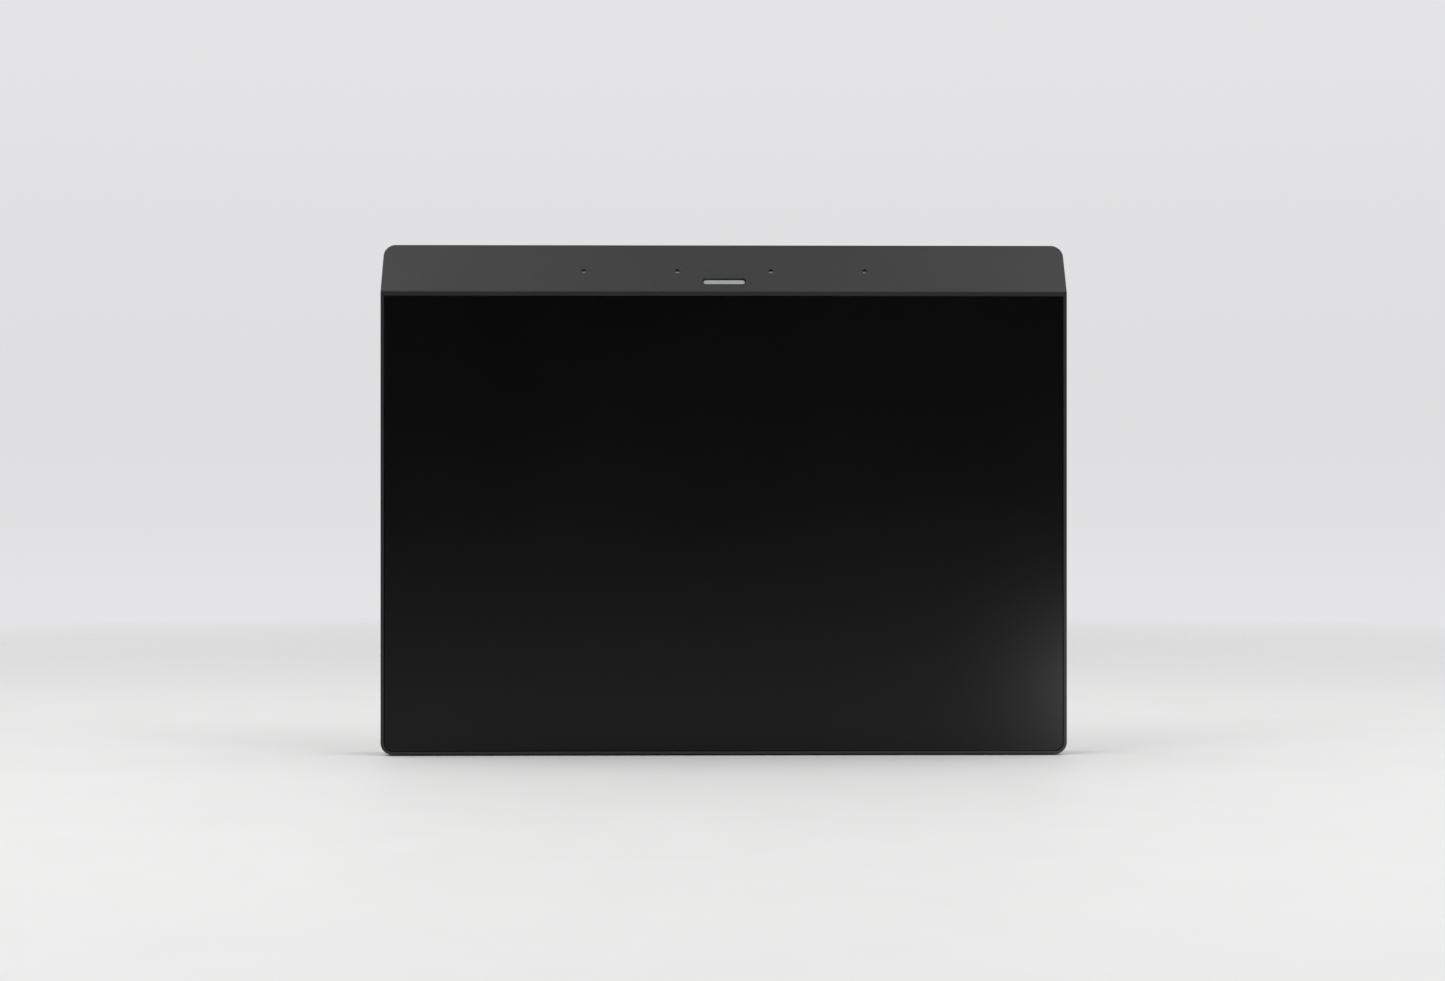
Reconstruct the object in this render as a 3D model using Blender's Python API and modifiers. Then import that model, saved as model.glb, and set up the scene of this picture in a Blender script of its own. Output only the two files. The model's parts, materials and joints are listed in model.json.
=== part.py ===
"""Smart display: an upright 10.1 inch touch slab with a sloping microphone brow and a fold-out stand.

Frame: X is the width, Y runs from the glass (-Y) to the back (+Y), Z is up.
The origin is under the middle of the slab, where its rubber feet rest.
Depths below are measured from the front plane towards the back and turned into Y by y_of().
"""

import math

import bmesh
import bpy
from mathutils import Matrix, Vector

MM = 0.001

# Driving dimensions of the slab
WIDTH = 248.0 * MM
HEIGHT = 185.0 * MM
THICKNESS = 17.0 * MM
CORNER_RADIUS = 4.2 * MM
FOOT_PROUD = 0.4 * MM
GAP = 0.3 * MM
CLOSE_GAP = 0.2 * MM
SHELL_WALL = 1.8 * MM
PARTING_DEPTH = 12.5 * MM

# The brow: a flat strip that leans back from the fold above the glass
FOLD_HEIGHT = FOOT_PROUD + 167.1 * MM
BROW_RISE = HEIGHT + FOOT_PROUD - FOLD_HEIGHT
BROW_SETBACK = 12.0 * MM
BROW_TILT = math.atan2(BROW_SETBACK, BROW_RISE)
MIC_PITCH = 34.0 * MM
MIC_HOLE_RADIUS = 0.85 * MM
MIC_UP = 9.5 * MM
LIGHT_UP = 4.8 * MM
LIGHT_SLOT = (15.7 * MM, 2.5 * MM)

# Display stack: depth of each layer's front and back
GLASS_DEPTHS = (0.1 * MM, 1.2 * MM)
GASKET_DEPTHS = (1.4 * MM, 1.7 * MM)
TOUCH_DEPTHS = (1.4 * MM, 1.6 * MM)
LEDGE_DEPTHS = (1.9 * MM, 3.3 * MM)
LCD_DEPTHS = (1.8 * MM, 2.9 * MM)
BACKLIGHT_DEPTHS = (3.1 * MM, 5.6 * MM)
FRAME_DEPTHS = (5.9 * MM, 6.9 * MM)
BOARD_DEPTHS = (7.2 * MM, 8.2 * MM)
RIM_SIDE = 1.2 * MM
RIM_TOP = 1.5 * MM
RIM_BOTTOM = 1.1 * MM
DISPLAY_CENTRE = FOOT_PROUD + (RIM_BOTTOM + 167.1 * MM - RIM_TOP) / 2

# Stand and its hinges
HINGE_HEIGHT = 108.0 * MM
HINGE_DEPTH = 14.9 * MM
BARREL_RADIUS = 2.1 * MM
STAND_HALF_WIDTH = 99.7 * MM
STAND_BOTTOM = 10.3 * MM
STAND_DEPTHS = (15.0 * MM, THICKNESS)
POCKET_CLEARANCE = 0.4 * MM
POCKET_DEPTH = 13.5 * MM
POCKET_WALL = 1.6 * MM
KNUCKLE_X = 78.0 * MM
KNUCKLE_WIDTH = 6.0 * MM
KNUCKLE_RADIUS = 2.0 * MM
PIN_RADIUS = 1.0 * MM
PIN_LENGTH = 18.0 * MM
PIN_BORE_RADIUS = 1.08 * MM
LEAF_DEPTHS = (13.75 * MM, 14.45 * MM)

# Sound, buttons and ports
SPEAKER_X = 70.0 * MM
SPEAKER_Z = 140.0 * MM
SPEAKER_SIZE = (56.0 * MM, 46.0 * MM)
GRILLE_SIZE = (52.0 * MM, 34.0 * MM)
GRILLE_REBATE_DEPTH = 16.0 * MM
BUTTON_X = 110.0 * MM
BUTTON_TRAVEL = 0.5 * MM
POWER_Z = 158.0 * MM
VOLUME_UP_Z = 144.0 * MM
VOLUME_DOWN_Z = 131.0 * MM
MUTE_Z = 119.0 * MM
PORT_ZS = (40.0 * MM, 57.0 * MM)
PORT_DEPTH = 9.95 * MM

# Fastener places, as (x, z)
COVER_SCREWS = ((-92 * MM, 20 * MM), (92 * MM, 20 * MM), (-30 * MM, 98 * MM), (30 * MM, 98 * MM))
HINGE_SCREWS = ((-82 * MM, 94 * MM), (-74 * MM, 94 * MM), (74 * MM, 94 * MM), (82 * MM, 94 * MM))
SCREW_HOLE_RADIUS = 1.15 * MM

FRONT_Y = -THICKNESS / 2
PARTS = "smart_display"
HELPERS = "cutters_and_joins"


# ---------------------------------------------------------------- helpers


def y_of(depth):
    """Y of a plane this far behind the front plane."""
    return FRONT_Y + depth


def clear_scene():
    for obj in list(bpy.data.objects):
        bpy.data.objects.remove(obj)
    for name in (PARTS, HELPERS):
        collection = bpy.data.collections.new(name)
        bpy.context.scene.collection.children.link(collection)


def material(name, colour, roughness, metallic=0.0):
    """A Principled BSDF in one colour; colour is linear RGB."""
    found = bpy.data.materials.get(name)
    if found:
        return found
    made = bpy.data.materials.new(name)
    made.use_nodes = True
    shader = made.node_tree.nodes["Principled BSDF"]
    shader.inputs["Base Color"].default_value = (*colour, 1.0)
    shader.inputs["Roughness"].default_value = roughness
    shader.inputs["Metallic"].default_value = metallic
    return made


def slate():
    return material("slate_plastic", (0.055, 0.056, 0.058), 0.55)


def black_plastic():
    return material("black_plastic", (0.02, 0.02, 0.021), 0.5)


def steel():
    return material("steel", (0.55, 0.55, 0.56), 0.3, 1.0)


def aluminium():
    return material("aluminium", (0.62, 0.62, 0.63), 0.4, 1.0)


def rubber():
    return material("rubber", (0.03, 0.03, 0.03), 0.85)


def circuit_board():
    return material("circuit_board", (0.02, 0.09, 0.04), 0.5)


def chip():
    return material("chip_resin", (0.03, 0.03, 0.032), 0.45)


def rounded_box(
    size, radius=0.0, along=1, segments=6, back_bevel=0.0, back_segments=3, low_only=False
):
    """A mesh box about the origin; radius rounds its edges along one axis, back_bevel its +Y rim."""
    bm = bmesh.new()
    bmesh.ops.create_cube(bm, size=1.0)
    bmesh.ops.scale(bm, vec=size, verts=bm.verts)
    if radius:
        edges = [e for e in bm.edges if abs((e.verts[0].co - e.verts[1].co)[along]) > 1e-9]
        edges = [e for e in edges if e.verts[0].co.z < 0 or not low_only]
        bmesh.ops.bevel(bm, geom=edges, offset=radius, segments=segments, profile=0.5, affect="EDGES")
    if back_bevel:
        rim = [e for e in bm.edges if all(abs(v.co.y - size[1] / 2) < 1e-9 for v in e.verts)]
        bmesh.ops.bevel(
            bm, geom=rim, offset=back_bevel, segments=back_segments, profile=0.5, affect="EDGES"
        )
    return bm


def cylinder(radius, length, along=1, sides=16):
    """A mesh cylinder about the origin along one axis."""
    bm = bmesh.new()
    bmesh.ops.create_cone(
        bm, cap_ends=True, segments=sides, radius1=radius, radius2=radius, depth=length
    )
    turns = {0: Matrix.Rotation(math.pi / 2, 3, "Y"), 1: Matrix.Rotation(math.pi / 2, 3, "X")}
    if along in turns:
        bmesh.ops.rotate(bm, cent=(0, 0, 0), matrix=turns[along], verts=bm.verts)
    return bm


def clip(bm, point, normal):
    """Cuts away what lies on the normal's side of a plane and closes the cut."""
    geometry = bm.verts[:] + bm.edges[:] + bm.faces[:]
    done = bmesh.ops.bisect_plane(
        bm, geom=geometry, plane_co=point, plane_no=normal, clear_outer=True
    )
    edges = [g for g in done["geom_cut"] if isinstance(g, bmesh.types.BMEdge)]
    bmesh.ops.contextual_create(bm, geom=edges)
    bmesh.ops.recalc_face_normals(bm, faces=bm.faces)


def finish_mesh(name, bm):
    bmesh.ops.recalc_face_normals(bm, faces=bm.faces)
    mesh = bpy.data.meshes.new(name)
    bm.to_mesh(mesh)
    bm.free()
    mesh.shade_smooth()
    mesh.set_sharp_from_angle(angle=math.radians(35))
    return mesh


def add(name, bm, finish, at=(0, 0, 0), parent=None):
    """A named part, in its own material."""
    mesh = finish_mesh(name, bm)
    mesh.materials.append(finish)
    obj = bpy.data.objects.new(name, mesh)
    obj.location = at
    obj.parent = parent
    bpy.data.collections[PARTS].objects.link(obj)
    return obj


def helper(name, bm, at=(0, 0, 0), parent=None):
    """A cutter, or a shape to be joined: seen as wire and left out of renders."""
    obj = bpy.data.objects.new(name, finish_mesh(name, bm))
    obj.location = at
    obj.parent = parent
    obj.hide_render = True
    obj.display_type = "WIRE"
    bpy.data.collections[HELPERS].objects.link(obj)
    return obj


def boolean(obj, other, operation):
    modifier = obj.modifiers.new(other.name, "BOOLEAN")
    modifier.object = other
    modifier.operation = operation
    return obj


def cut(obj, name, bm, at=(0, 0, 0), parent=None):
    return boolean(obj, helper(f"{obj.name}_{name}_cut", bm, at, parent), "DIFFERENCE")


def join(obj, name, bm, at=(0, 0, 0), parent=None):
    return boolean(obj, helper(f"{obj.name}_{name}_join", bm, at, parent), "UNION")


def span(x, depths, z):
    """(size, centre) of a box from its x range, depth range and z range."""
    size = (x[1] - x[0], depths[1] - depths[0], z[1] - z[0])
    centre = ((x[0] + x[1]) / 2, y_of((depths[0] + depths[1]) / 2), (z[0] + z[1]) / 2)
    return size, centre


def add_box(name, x, depths, z, finish, radius=0.0, along=1, segments=4, low_only=False):
    size, centre = span(x, depths, z)
    shape = rounded_box(size, radius, along, segments, low_only=low_only)
    return add(name, shape, finish, centre)


def cut_box(obj, name, x, depths, z, radius=0.0, along=1, segments=4, low_only=False):
    size, centre = span(x, depths, z)
    shape = rounded_box(size, radius, along, segments, low_only=low_only)
    return cut(obj, name, shape, centre)


def join_box(obj, name, x, depths, z, radius=0.0, along=1, segments=4):
    size, centre = span(x, depths, z)
    return join(obj, name, rounded_box(size, radius, along, segments), centre)


def turned(name, profile, finish, at, sides=14):
    """A turned part: the profile is (radius, height) from its head down, and its head faces +Y."""
    mesh = bpy.data.meshes.new(name)
    points = [(radius, 0.0, height) for radius, height in profile]
    mesh.from_pydata(points, [(i, i + 1) for i in range(len(points) - 1)], [])
    mesh.materials.append(finish)
    obj = bpy.data.objects.new(name, mesh)
    spin = obj.modifiers.new("turn", "SCREW")
    spin.axis = "Z"
    spin.steps = sides
    spin.render_steps = sides
    spin.use_merge_vertices = True
    spin.merge_threshold = 0.00001
    spin.use_smooth_shade = False
    obj.location = at
    obj.rotation_euler = (-math.pi / 2, 0, 0)
    bpy.data.collections[PARTS].objects.link(obj)
    return obj


def ribbon(name, x, path, thickness, finish):
    """A flat cable: a strip that follows (depth, z) points, thickened with Solidify."""
    mesh = bpy.data.meshes.new(name)
    bm = bmesh.new()
    rows = [[bm.verts.new((side, y_of(depth), z)) for side in x] for depth, z in path]
    for (a, b), (c, d) in zip(rows, rows[1:]):
        bm.faces.new((a, b, d, c))
    bm.to_mesh(mesh)
    bm.free()
    mesh.materials.append(finish)
    obj = bpy.data.objects.new(name, mesh)
    shell = obj.modifiers.new("thickness", "SOLIDIFY")
    shell.thickness = thickness
    shell.offset = 0
    shell.use_even_offset = True
    bpy.data.collections[PARTS].objects.link(obj)
    return obj


def wire(name, points, radius, finish):
    """A round lead through its own points, smoothed by halving the polyline's corners twice."""
    route = [Vector(p) for p in points]
    for _ in range(2):
        eased = [route[0]]
        for a, b in zip(route, route[1:]):
            eased += [a.lerp(b, 0.25), a.lerp(b, 0.75)]
        route = eased + [route[-1]]
    curve = bpy.data.curves.new(name, "CURVE")
    curve.dimensions = "3D"
    curve.bevel_depth = radius
    curve.bevel_resolution = 2
    curve.use_fill_caps = True
    spline = curve.splines.new("POLY")
    spline.points.add(len(route) - 1)
    for point, place in zip(spline.points, route):
        point.co = (*place, 1.0)
    curve.materials.append(finish)
    obj = bpy.data.objects.new(name, curve)
    bpy.data.collections[PARTS].objects.link(obj)
    return obj


def brow_frame():
    """An empty on the fold: local Z climbs the brow, local +Y goes inwards from its face."""
    empty = bpy.data.objects.new("brow_frame", None)
    empty.location = (0, FRONT_Y, FOLD_HEIGHT)
    empty.rotation_euler = (-BROW_TILT, 0, 0)
    bpy.data.collections[PARTS].objects.link(empty)
    return empty


def brow_plane(inset):
    """(point, outward normal) of the brow's face, moved inwards by inset."""
    normal = Vector((0, -math.cos(BROW_TILT), math.sin(BROW_TILT)))
    return Vector((0, FRONT_Y, FOLD_HEIGHT)) - normal * inset, normal


# ---------------------------------------------------------------- shells and display


def front_housing(brow):
    size, centre = span(
        (-WIDTH / 2, WIDTH / 2), (0, PARTING_DEPTH), (FOOT_PROUD, FOOT_PROUD + HEIGHT)
    )
    body = rounded_box(size, CORNER_RADIUS, segments=8)
    point, normal = brow_plane(0)
    clip(body, point - Vector(centre), normal)
    housing = add("front_housing", body, slate(), centre)

    inner_x = WIDTH / 2 - SHELL_WALL
    inner_z = (FOOT_PROUD + SHELL_WALL, FOOT_PROUD + HEIGHT - SHELL_WALL)
    size, centre = span((-inner_x, inner_x), (LEDGE_DEPTHS[1], PARTING_DEPTH + MM), inner_z)
    hollow = rounded_box(size, CORNER_RADIUS - SHELL_WALL)
    point, normal = brow_plane(SHELL_WALL)
    clip(hollow, point - Vector(centre), normal)
    cut(housing, "hollow", hollow, centre)

    glass_x = WIDTH / 2 - RIM_SIDE
    glass_z = (FOOT_PROUD + RIM_BOTTOM, FOLD_HEIGHT - RIM_TOP)
    glass_depths = (-MM, LEDGE_DEPTHS[0])
    radius = CORNER_RADIUS - RIM_SIDE
    cut_box(
        housing, "glass", (-glass_x, glass_x), glass_depths, glass_z, radius, 1, 6, low_only=True
    )
    window_z = (DISPLAY_CENTRE - 74 * MM, DISPLAY_CENTRE + 74 * MM)
    cut_box(housing, "window", (-113.8 * MM, 113.8 * MM), (MM, 5 * MM), window_z)
    cut_box(
        housing,
        "foot",
        (-95.3 * MM, 95.3 * MM),
        (1.7 * MM, 11.3 * MM),
        (-MM, FOOT_PROUD + 0.6 * MM),
        2 * MM,
        along=2,
    )
    for number in range(4):
        x = (number - 1.5) * MIC_PITCH
        cut(housing, f"mic_{number + 1}", cylinder(MIC_HOLE_RADIUS, 8 * MM), (x, MM, MIC_UP), brow)
    slot = rounded_box((LIGHT_SLOT[0], 8 * MM, LIGHT_SLOT[1]), LIGHT_SLOT[1] / 2 * 0.98, segments=6)
    cut(housing, "light_slot", slot, (0, MM, LIGHT_UP), brow)
    for number, z in enumerate(PORT_ZS):
        cut_box(
            housing,
            f"port_{number + 1}",
            (WIDTH / 2 - 5 * MM, WIDTH / 2 + 5 * MM),
            (PORT_DEPTH - 1.85 * MM, PORT_DEPTH + 1.85 * MM),
            (z - 4.8 * MM, z + 4.8 * MM),
            1.8 * MM,
            along=0,
        )
    return housing


def display_stack():
    glass_black = material("cover_glass", (0.004, 0.004, 0.004), 0.25)
    clear_film = material("touch_film", (0.5, 0.52, 0.53), 0.2)
    foam = material("foam_tape", (0.02, 0.02, 0.02), 0.9)
    panel = material("lcd_panel", (0.01, 0.01, 0.012), 0.3)
    x = WIDTH / 2 - RIM_SIDE - GAP
    z = (FOOT_PROUD + RIM_BOTTOM + GAP, FOLD_HEIGHT - RIM_TOP - GAP)
    radius = CORNER_RADIUS - RIM_SIDE - GAP
    add_box("cover_glass", (-x, x), GLASS_DEPTHS, z, glass_black, radius, 1, 6, low_only=True)

    gasket_z = (z[0] + 0.5 * MM, z[1] - 0.5 * MM)
    gasket_x = x - 0.5 * MM
    gasket = add_box("glass_gasket", (-gasket_x, gasket_x), GASKET_DEPTHS, gasket_z, foam, 2 * MM)
    window_z = (DISPLAY_CENTRE - 74.5 * MM, DISPLAY_CENTRE + 74.5 * MM)
    cut_box(gasket, "window", (-114.3 * MM, 114.3 * MM), (0, 3 * MM), window_z)

    touch_z = (DISPLAY_CENTRE - 73.5 * MM, DISPLAY_CENTRE + 73.5 * MM)
    add_box("touch_sensor", (-113.3 * MM, 113.3 * MM), TOUCH_DEPTHS, touch_z, clear_film)
    lcd_z = (DISPLAY_CENTRE - 71.5 * MM, DISPLAY_CENTRE + 71.5 * MM)
    add_box("lcd_panel", (-112 * MM, 112 * MM), LCD_DEPTHS, lcd_z, panel)
    light_z = (DISPLAY_CENTRE - 73 * MM, DISPLAY_CENTRE + 73 * MM)
    white = material("backlight_white", (0.7, 0.7, 0.69), 0.4)
    tray = add_box("backlight_module", (-112.7 * MM, 112.7 * MM), BACKLIGHT_DEPTHS, light_z, white)
    dish_z = (light_z[0] + 1.2 * MM, light_z[1] - 1.2 * MM)
    dish_depths = (BACKLIGHT_DEPTHS[0] - MM, BACKLIGHT_DEPTHS[0] + 0.5 * MM)
    cut_box(tray, "light_field", (-111.5 * MM, 111.5 * MM), dish_depths, dish_z)


def mid_frame():
    """The magnesium plate that carries the boards, with a screw boss under each fastener."""
    magnesium = material("magnesium", (0.35, 0.35, 0.36), 0.5, 1.0)
    plate_z = (4.5 * MM, 163.5 * MM)
    plate = add_box("mid_frame", (-118 * MM, 118 * MM), FRAME_DEPTHS, plate_z, magnesium, 3 * MM)
    cut_box(plate, "cable_notch", (-22 * MM, 22 * MM), (5 * MM, 8 * MM), (0, 13 * MM))
    for side in (-1, 1):
        window_x = sorted((side * 48 * MM, side * 92 * MM))
        cut_box(plate, f"lightening_{side}", window_x, (5 * MM, 8 * MM), (122 * MM, 158 * MM), 3 * MM)
    boss_depths = (FRAME_DEPTHS[0] + 0.2 * MM, POCKET_DEPTH - POCKET_WALL - GAP)
    middle = y_of(sum(boss_depths) / 2)
    length = boss_depths[1] - boss_depths[0]
    for number, (x, z) in enumerate(COVER_SCREWS + HINGE_SCREWS):
        join(plate, f"boss_{number + 1}", cylinder(2.3 * MM, length, sides=12), (x, middle, z))
        bore = cylinder(SCREW_HOLE_RADIUS, length + 4 * MM, sides=12)
        cut(plate, f"bore_{number + 1}", bore, (x, middle, z))
    return plate


def rear_cover():
    bottom, top = FOOT_PROUD, FOOT_PROUD + HEIGHT
    size, centre = span((-WIDTH / 2, WIDTH / 2), (PARTING_DEPTH + GAP, THICKNESS), (bottom, top))
    cover = add(
        "rear_cover",
        rounded_box(size, CORNER_RADIUS, segments=8, back_bevel=1.6 * MM, back_segments=5),
        slate(),
        centre,
    )
    inner_x = WIDTH / 2 - SHELL_WALL
    shell_back = THICKNESS - SHELL_WALL
    cut_box(
        cover,
        "hollow",
        (-inner_x, inner_x),
        (PARTING_DEPTH - MM, shell_back),
        (bottom + SHELL_WALL, top - SHELL_WALL),
        CORNER_RADIUS - SHELL_WALL,
    )

    # The stand's pocket is a tub that dips into the body, deeper along the hinge line.
    pocket_x = STAND_HALF_WIDTH + POCKET_CLEARANCE
    pocket_z = (STAND_BOTTOM - POCKET_CLEARANCE, HINGE_HEIGHT + BARREL_RADIUS + POCKET_CLEARANCE)
    trough_z = (HINGE_HEIGHT - BARREL_RADIUS - POCKET_CLEARANCE, pocket_z[1])
    trough_depth = HINGE_DEPTH - BARREL_RADIUS - POCKET_CLEARANCE
    notch_x, notch_z = 15 * MM, (4.4 * MM, pocket_z[0] + 2 * MM)
    wall = POCKET_WALL
    join_box(
        cover,
        "tub",
        (-pocket_x - wall, pocket_x + wall),
        (POCKET_DEPTH - wall, shell_back + 0.8 * MM),
        (pocket_z[0] - wall, pocket_z[1] + wall),
        3.6 * MM,
    )
    join_box(
        cover,
        "trough",
        (-pocket_x - wall, pocket_x + wall),
        (trough_depth - wall, POCKET_DEPTH + MM),
        (trough_z[0] - wall, trough_z[1] + wall),
    )
    join_box(
        cover,
        "notch",
        (-notch_x - wall, notch_x + wall),
        (POCKET_DEPTH - wall + 0.05 * MM, shell_back + 0.7 * MM),
        (notch_z[0] - wall, notch_z[1]),
    )
    cut_box(
        cover, "pocket", (-pocket_x, pocket_x), (POCKET_DEPTH, THICKNESS + MM), pocket_z, 2 * MM
    )
    cut_box(cover, "hinge_line", (-pocket_x, pocket_x), (trough_depth, THICKNESS + MM), trough_z)
    cut_box(
        cover,
        "finger_notch",
        (-notch_x, notch_x),
        (POCKET_DEPTH + 0.05 * MM, THICKNESS + MM),
        notch_z,
        3 * MM,
    )
    cut_box(
        cover,
        "foot",
        (-95.3 * MM, 95.3 * MM),
        (13.2 * MM, 15.4 * MM),
        (-MM, bottom + 0.6 * MM),
        MM,
        along=2,
    )
    cover_openings(cover)
    return cover


def cover_openings(cover):
    """Grilles, vents, buttons and screw holes through the rear cover."""
    for side in (-1, 1):
        name = "left" if side < 0 else "right"
        x, z = side * SPEAKER_X, SPEAKER_Z
        half_x, half_z = GRILLE_SIZE[0] / 2, GRILLE_SIZE[1] / 2
        rebate_x = (x - half_x - GAP, x + half_x + GAP)
        rebate_z = (z - half_z - GAP, z + half_z + GAP)
        rebate_depths = (GRILLE_REBATE_DEPTH, THICKNESS + MM)
        cut_box(cover, f"rebate_{name}", rebate_x, rebate_depths, rebate_z, 4.3 * MM)
        inner_x = (x - half_x + 2 * MM, x + half_x - 2 * MM)
        inner_z = (z - half_z + 2 * MM, z + half_z - 2 * MM)
        cut_box(cover, f"sound_{name}", inner_x, (14 * MM, THICKNESS), inner_z, 2.4 * MM)
    for number in range(11):
        x = (number - 5) * 6 * MM
        vent_x, vent_z = (x - 0.8 * MM, x + 0.8 * MM), (146 * MM, 158 * MM)
        cut_box(cover, f"vent_{number + 1}", vent_x, (14 * MM, 18 * MM), vent_z, 0.75 * MM, segments=3)

    cut_box(
        cover,
        "button_dish",
        (BUTTON_X - 4.6 * MM, BUTTON_X + 4.6 * MM),
        (THICKNESS - 0.5 * MM, THICKNESS + MM),
        (VOLUME_DOWN_Z - 7.4 * MM, POWER_Z + 5.2 * MM),
        4.4 * MM,
    )
    centre_y = y_of(THICKNESS)
    cut(cover, "power_hole", cylinder(3.3 * MM, 8 * MM, sides=20), (BUTTON_X, centre_y, POWER_Z))
    for name, z in (("volume_up", VOLUME_UP_Z), ("volume_down", VOLUME_DOWN_Z)):
        hole_x, hole_z = (BUTTON_X - 2.8 * MM, BUTTON_X + 2.8 * MM), (z - 5.3 * MM, z + 5.3 * MM)
        cut_box(cover, f"{name}_hole", hole_x, (14 * MM, 18 * MM), hole_z, 2.7 * MM)
    mute_x, mute_z = (BUTTON_X - 4.3 * MM, BUTTON_X + 4.3 * MM), (MUTE_Z - 1.6 * MM, MUTE_Z + 1.6 * MM)
    cut_box(cover, "mute_slot", mute_x, (14 * MM, 18 * MM), mute_z, 1.5 * MM)

    for number, (x, z) in enumerate(COVER_SCREWS + HINGE_SCREWS):
        bore = cylinder(SCREW_HOLE_RADIUS, 8 * MM, sides=12)
        cut(cover, f"bore_{number + 1}", bore, (x, y_of(POCKET_DEPTH), z))
    for number, (x, z) in enumerate(COVER_SCREWS):
        seat = cylinder(2.2 * MM, 2 * MM, sides=14)
        cut(cover, f"seat_{number + 1}", seat, (x, y_of(POCKET_DEPTH + 0.2 * MM), z))


def feet():
    front_x, rear_x = 95 * MM, 95 * MM
    front_z = (0, FOOT_PROUD + 0.4 * MM)
    add_box(
        "bottom_foot_front",
        (-front_x, front_x),
        (2 * MM, 11 * MM),
        front_z,
        rubber(),
        1.8 * MM,
        along=2,
    )
    add_box(
        "bottom_foot_rear",
        (-rear_x, rear_x),
        (13.4 * MM, 15.2 * MM),
        front_z,
        rubber(),
        0.8 * MM,
        along=2,
    )


# ---------------------------------------------------------------- brow parts


def brow_parts(brow):
    """Status light, microphones, their gasket and board, and the two antennas."""
    opal = material("light_lens", (0.42, 0.43, 0.44), 0.35)
    width, height = LIGHT_SLOT[0] - 2 * GAP, LIGHT_SLOT[1] - 2 * CLOSE_GAP
    face = rounded_box((width, 1.7 * MM, height), height / 2 * 0.98, segments=6)
    lens = add("status_light_lens", face, opal, (0, 1.05 * MM, LIGHT_UP), brow)
    neck = rounded_box((width - 2 * MM, 0.8 * MM, 1.4 * MM))
    join(lens, "neck", neck, (0, 1.9 * MM, LIGHT_UP), brow)
    flange = rounded_box((18 * MM, 0.5 * MM, 2.9 * MM))
    join(lens, "flange", flange, (0, 2.25 * MM, LIGHT_UP + 0.05 * MM), brow)

    led = material("led", (0.8, 0.78, 0.6), 0.4)
    bar = rounded_box((14 * MM, 0.6 * MM, 1.6 * MM))
    add("status_led_bar", bar, led, (0, 3.0 * MM, LIGHT_UP), brow)

    plate = rounded_box((124 * MM, 0.8 * MM, 11.4 * MM), MM)
    board = add("sensor_board", plate, circuit_board(), (0, 3.9 * MM, 8.3 * MM), brow)
    foam = material("foam_tape", (0.02, 0.02, 0.02), 0.9)
    strip = rounded_box((120 * MM, 1.3 * MM, 4.8 * MM), MM)
    gasket = add("microphone_gasket", strip, foam, (0, 2.65 * MM, 9.6 * MM), brow)
    can = material("microphone_can", (0.75, 0.66, 0.42), 0.35, 1.0)
    for number in range(4):
        x = (number - 1.5) * MIC_PITCH
        port = f"port_{number + 1}"
        cut(board, port, cylinder(0.5 * MM, 8 * MM, sides=10), (x, 4 * MM, MIC_UP), brow)
        cut(gasket, port, cylinder(MM, 8 * MM, sides=12), (x, 3 * MM, MIC_UP), brow)
        case = rounded_box((3.6 * MM, 1.0 * MM, 2.7 * MM), 0.3 * MM, segments=2)
        add(f"microphone_{number + 1}", case, can, (x, 5.0 * MM, MIC_UP), brow)
    for side, name in ((-1, "left"), (1, "right")):
        size = (38 * MM, 0.6 * MM, 8 * MM)
        at = (side * 90 * MM, 2.4 * MM, 9 * MM)
        add(f"antenna_{name}", rounded_box(size, MM, segments=3), circuit_board(), at, brow)


# ---------------------------------------------------------------- electronics and sound


def main_electronics():
    board = add_box(
        "main_board", (-60 * MM, 121 * MM), BOARD_DEPTHS, (24 * MM, 90 * MM), circuit_board(), 2 * MM
    )
    clearance = 2.8 * MM
    for number, (x, z) in enumerate(HINGE_SCREWS + COVER_SCREWS):
        hole = cylinder(clearance, 6 * MM, sides=12)
        if z - clearance < 90 * MM and -60 * MM < x + clearance:
            cut(board, f"boss_{number + 1}", hole, (x, y_of(BOARD_DEPTHS[0]), z))
    add_box("processor_shield", (-10 * MM, 26 * MM), (8.4 * MM, 10.2 * MM), (40 * MM, 76 * MM), steel(), MM)
    spreader = add_box(
        "heat_spreader", (-48 * MM, 64 * MM), (10.5 * MM, 11.5 * MM), (30 * MM, 86 * MM), aluminium(), 3 * MM
    )
    cut_box(spreader, "corner", (-50 * MM, -36 * MM), (10 * MM, 12 * MM), (70 * MM, 90 * MM))
    add_box("wifi_module", (76 * MM, 98 * MM), (8.4 * MM, 10.6 * MM), (66 * MM, 82 * MM), chip())
    for number, z in enumerate(PORT_ZS):
        usb_port(f"usb_c_port_{number + 1}", z)


def usb_port(name, z):
    """A USB-C receptacle facing +X: a stadium shell round a thin tongue."""
    inner, mouth = 114.5 * MM, WIDTH / 2 - 0.6 * MM
    x = (inner, mouth)
    half_z, half_depth = 4.47 * MM, 1.55 * MM
    port = add_box(
        name,
        x,
        (PORT_DEPTH - half_depth, PORT_DEPTH + half_depth),
        (z - half_z, z + half_z),
        steel(),
        half_depth * 0.97,
        along=0,
    )
    wall = 0.3 * MM
    cut_box(
        port,
        "socket",
        (inner + 1.2 * MM, mouth + MM),
        (PORT_DEPTH - half_depth + wall, PORT_DEPTH + half_depth - wall),
        (z - half_z + wall, z + half_z - wall),
        (half_depth - wall) * 0.97,
        along=0,
    )
    join_box(
        port,
        "tongue",
        (inner + 0.6 * MM, mouth - 0.8 * MM),
        (PORT_DEPTH - 0.35 * MM, PORT_DEPTH + 0.35 * MM),
        (z - 3.3 * MM, z + 3.3 * MM),
    )
    return port


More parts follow.
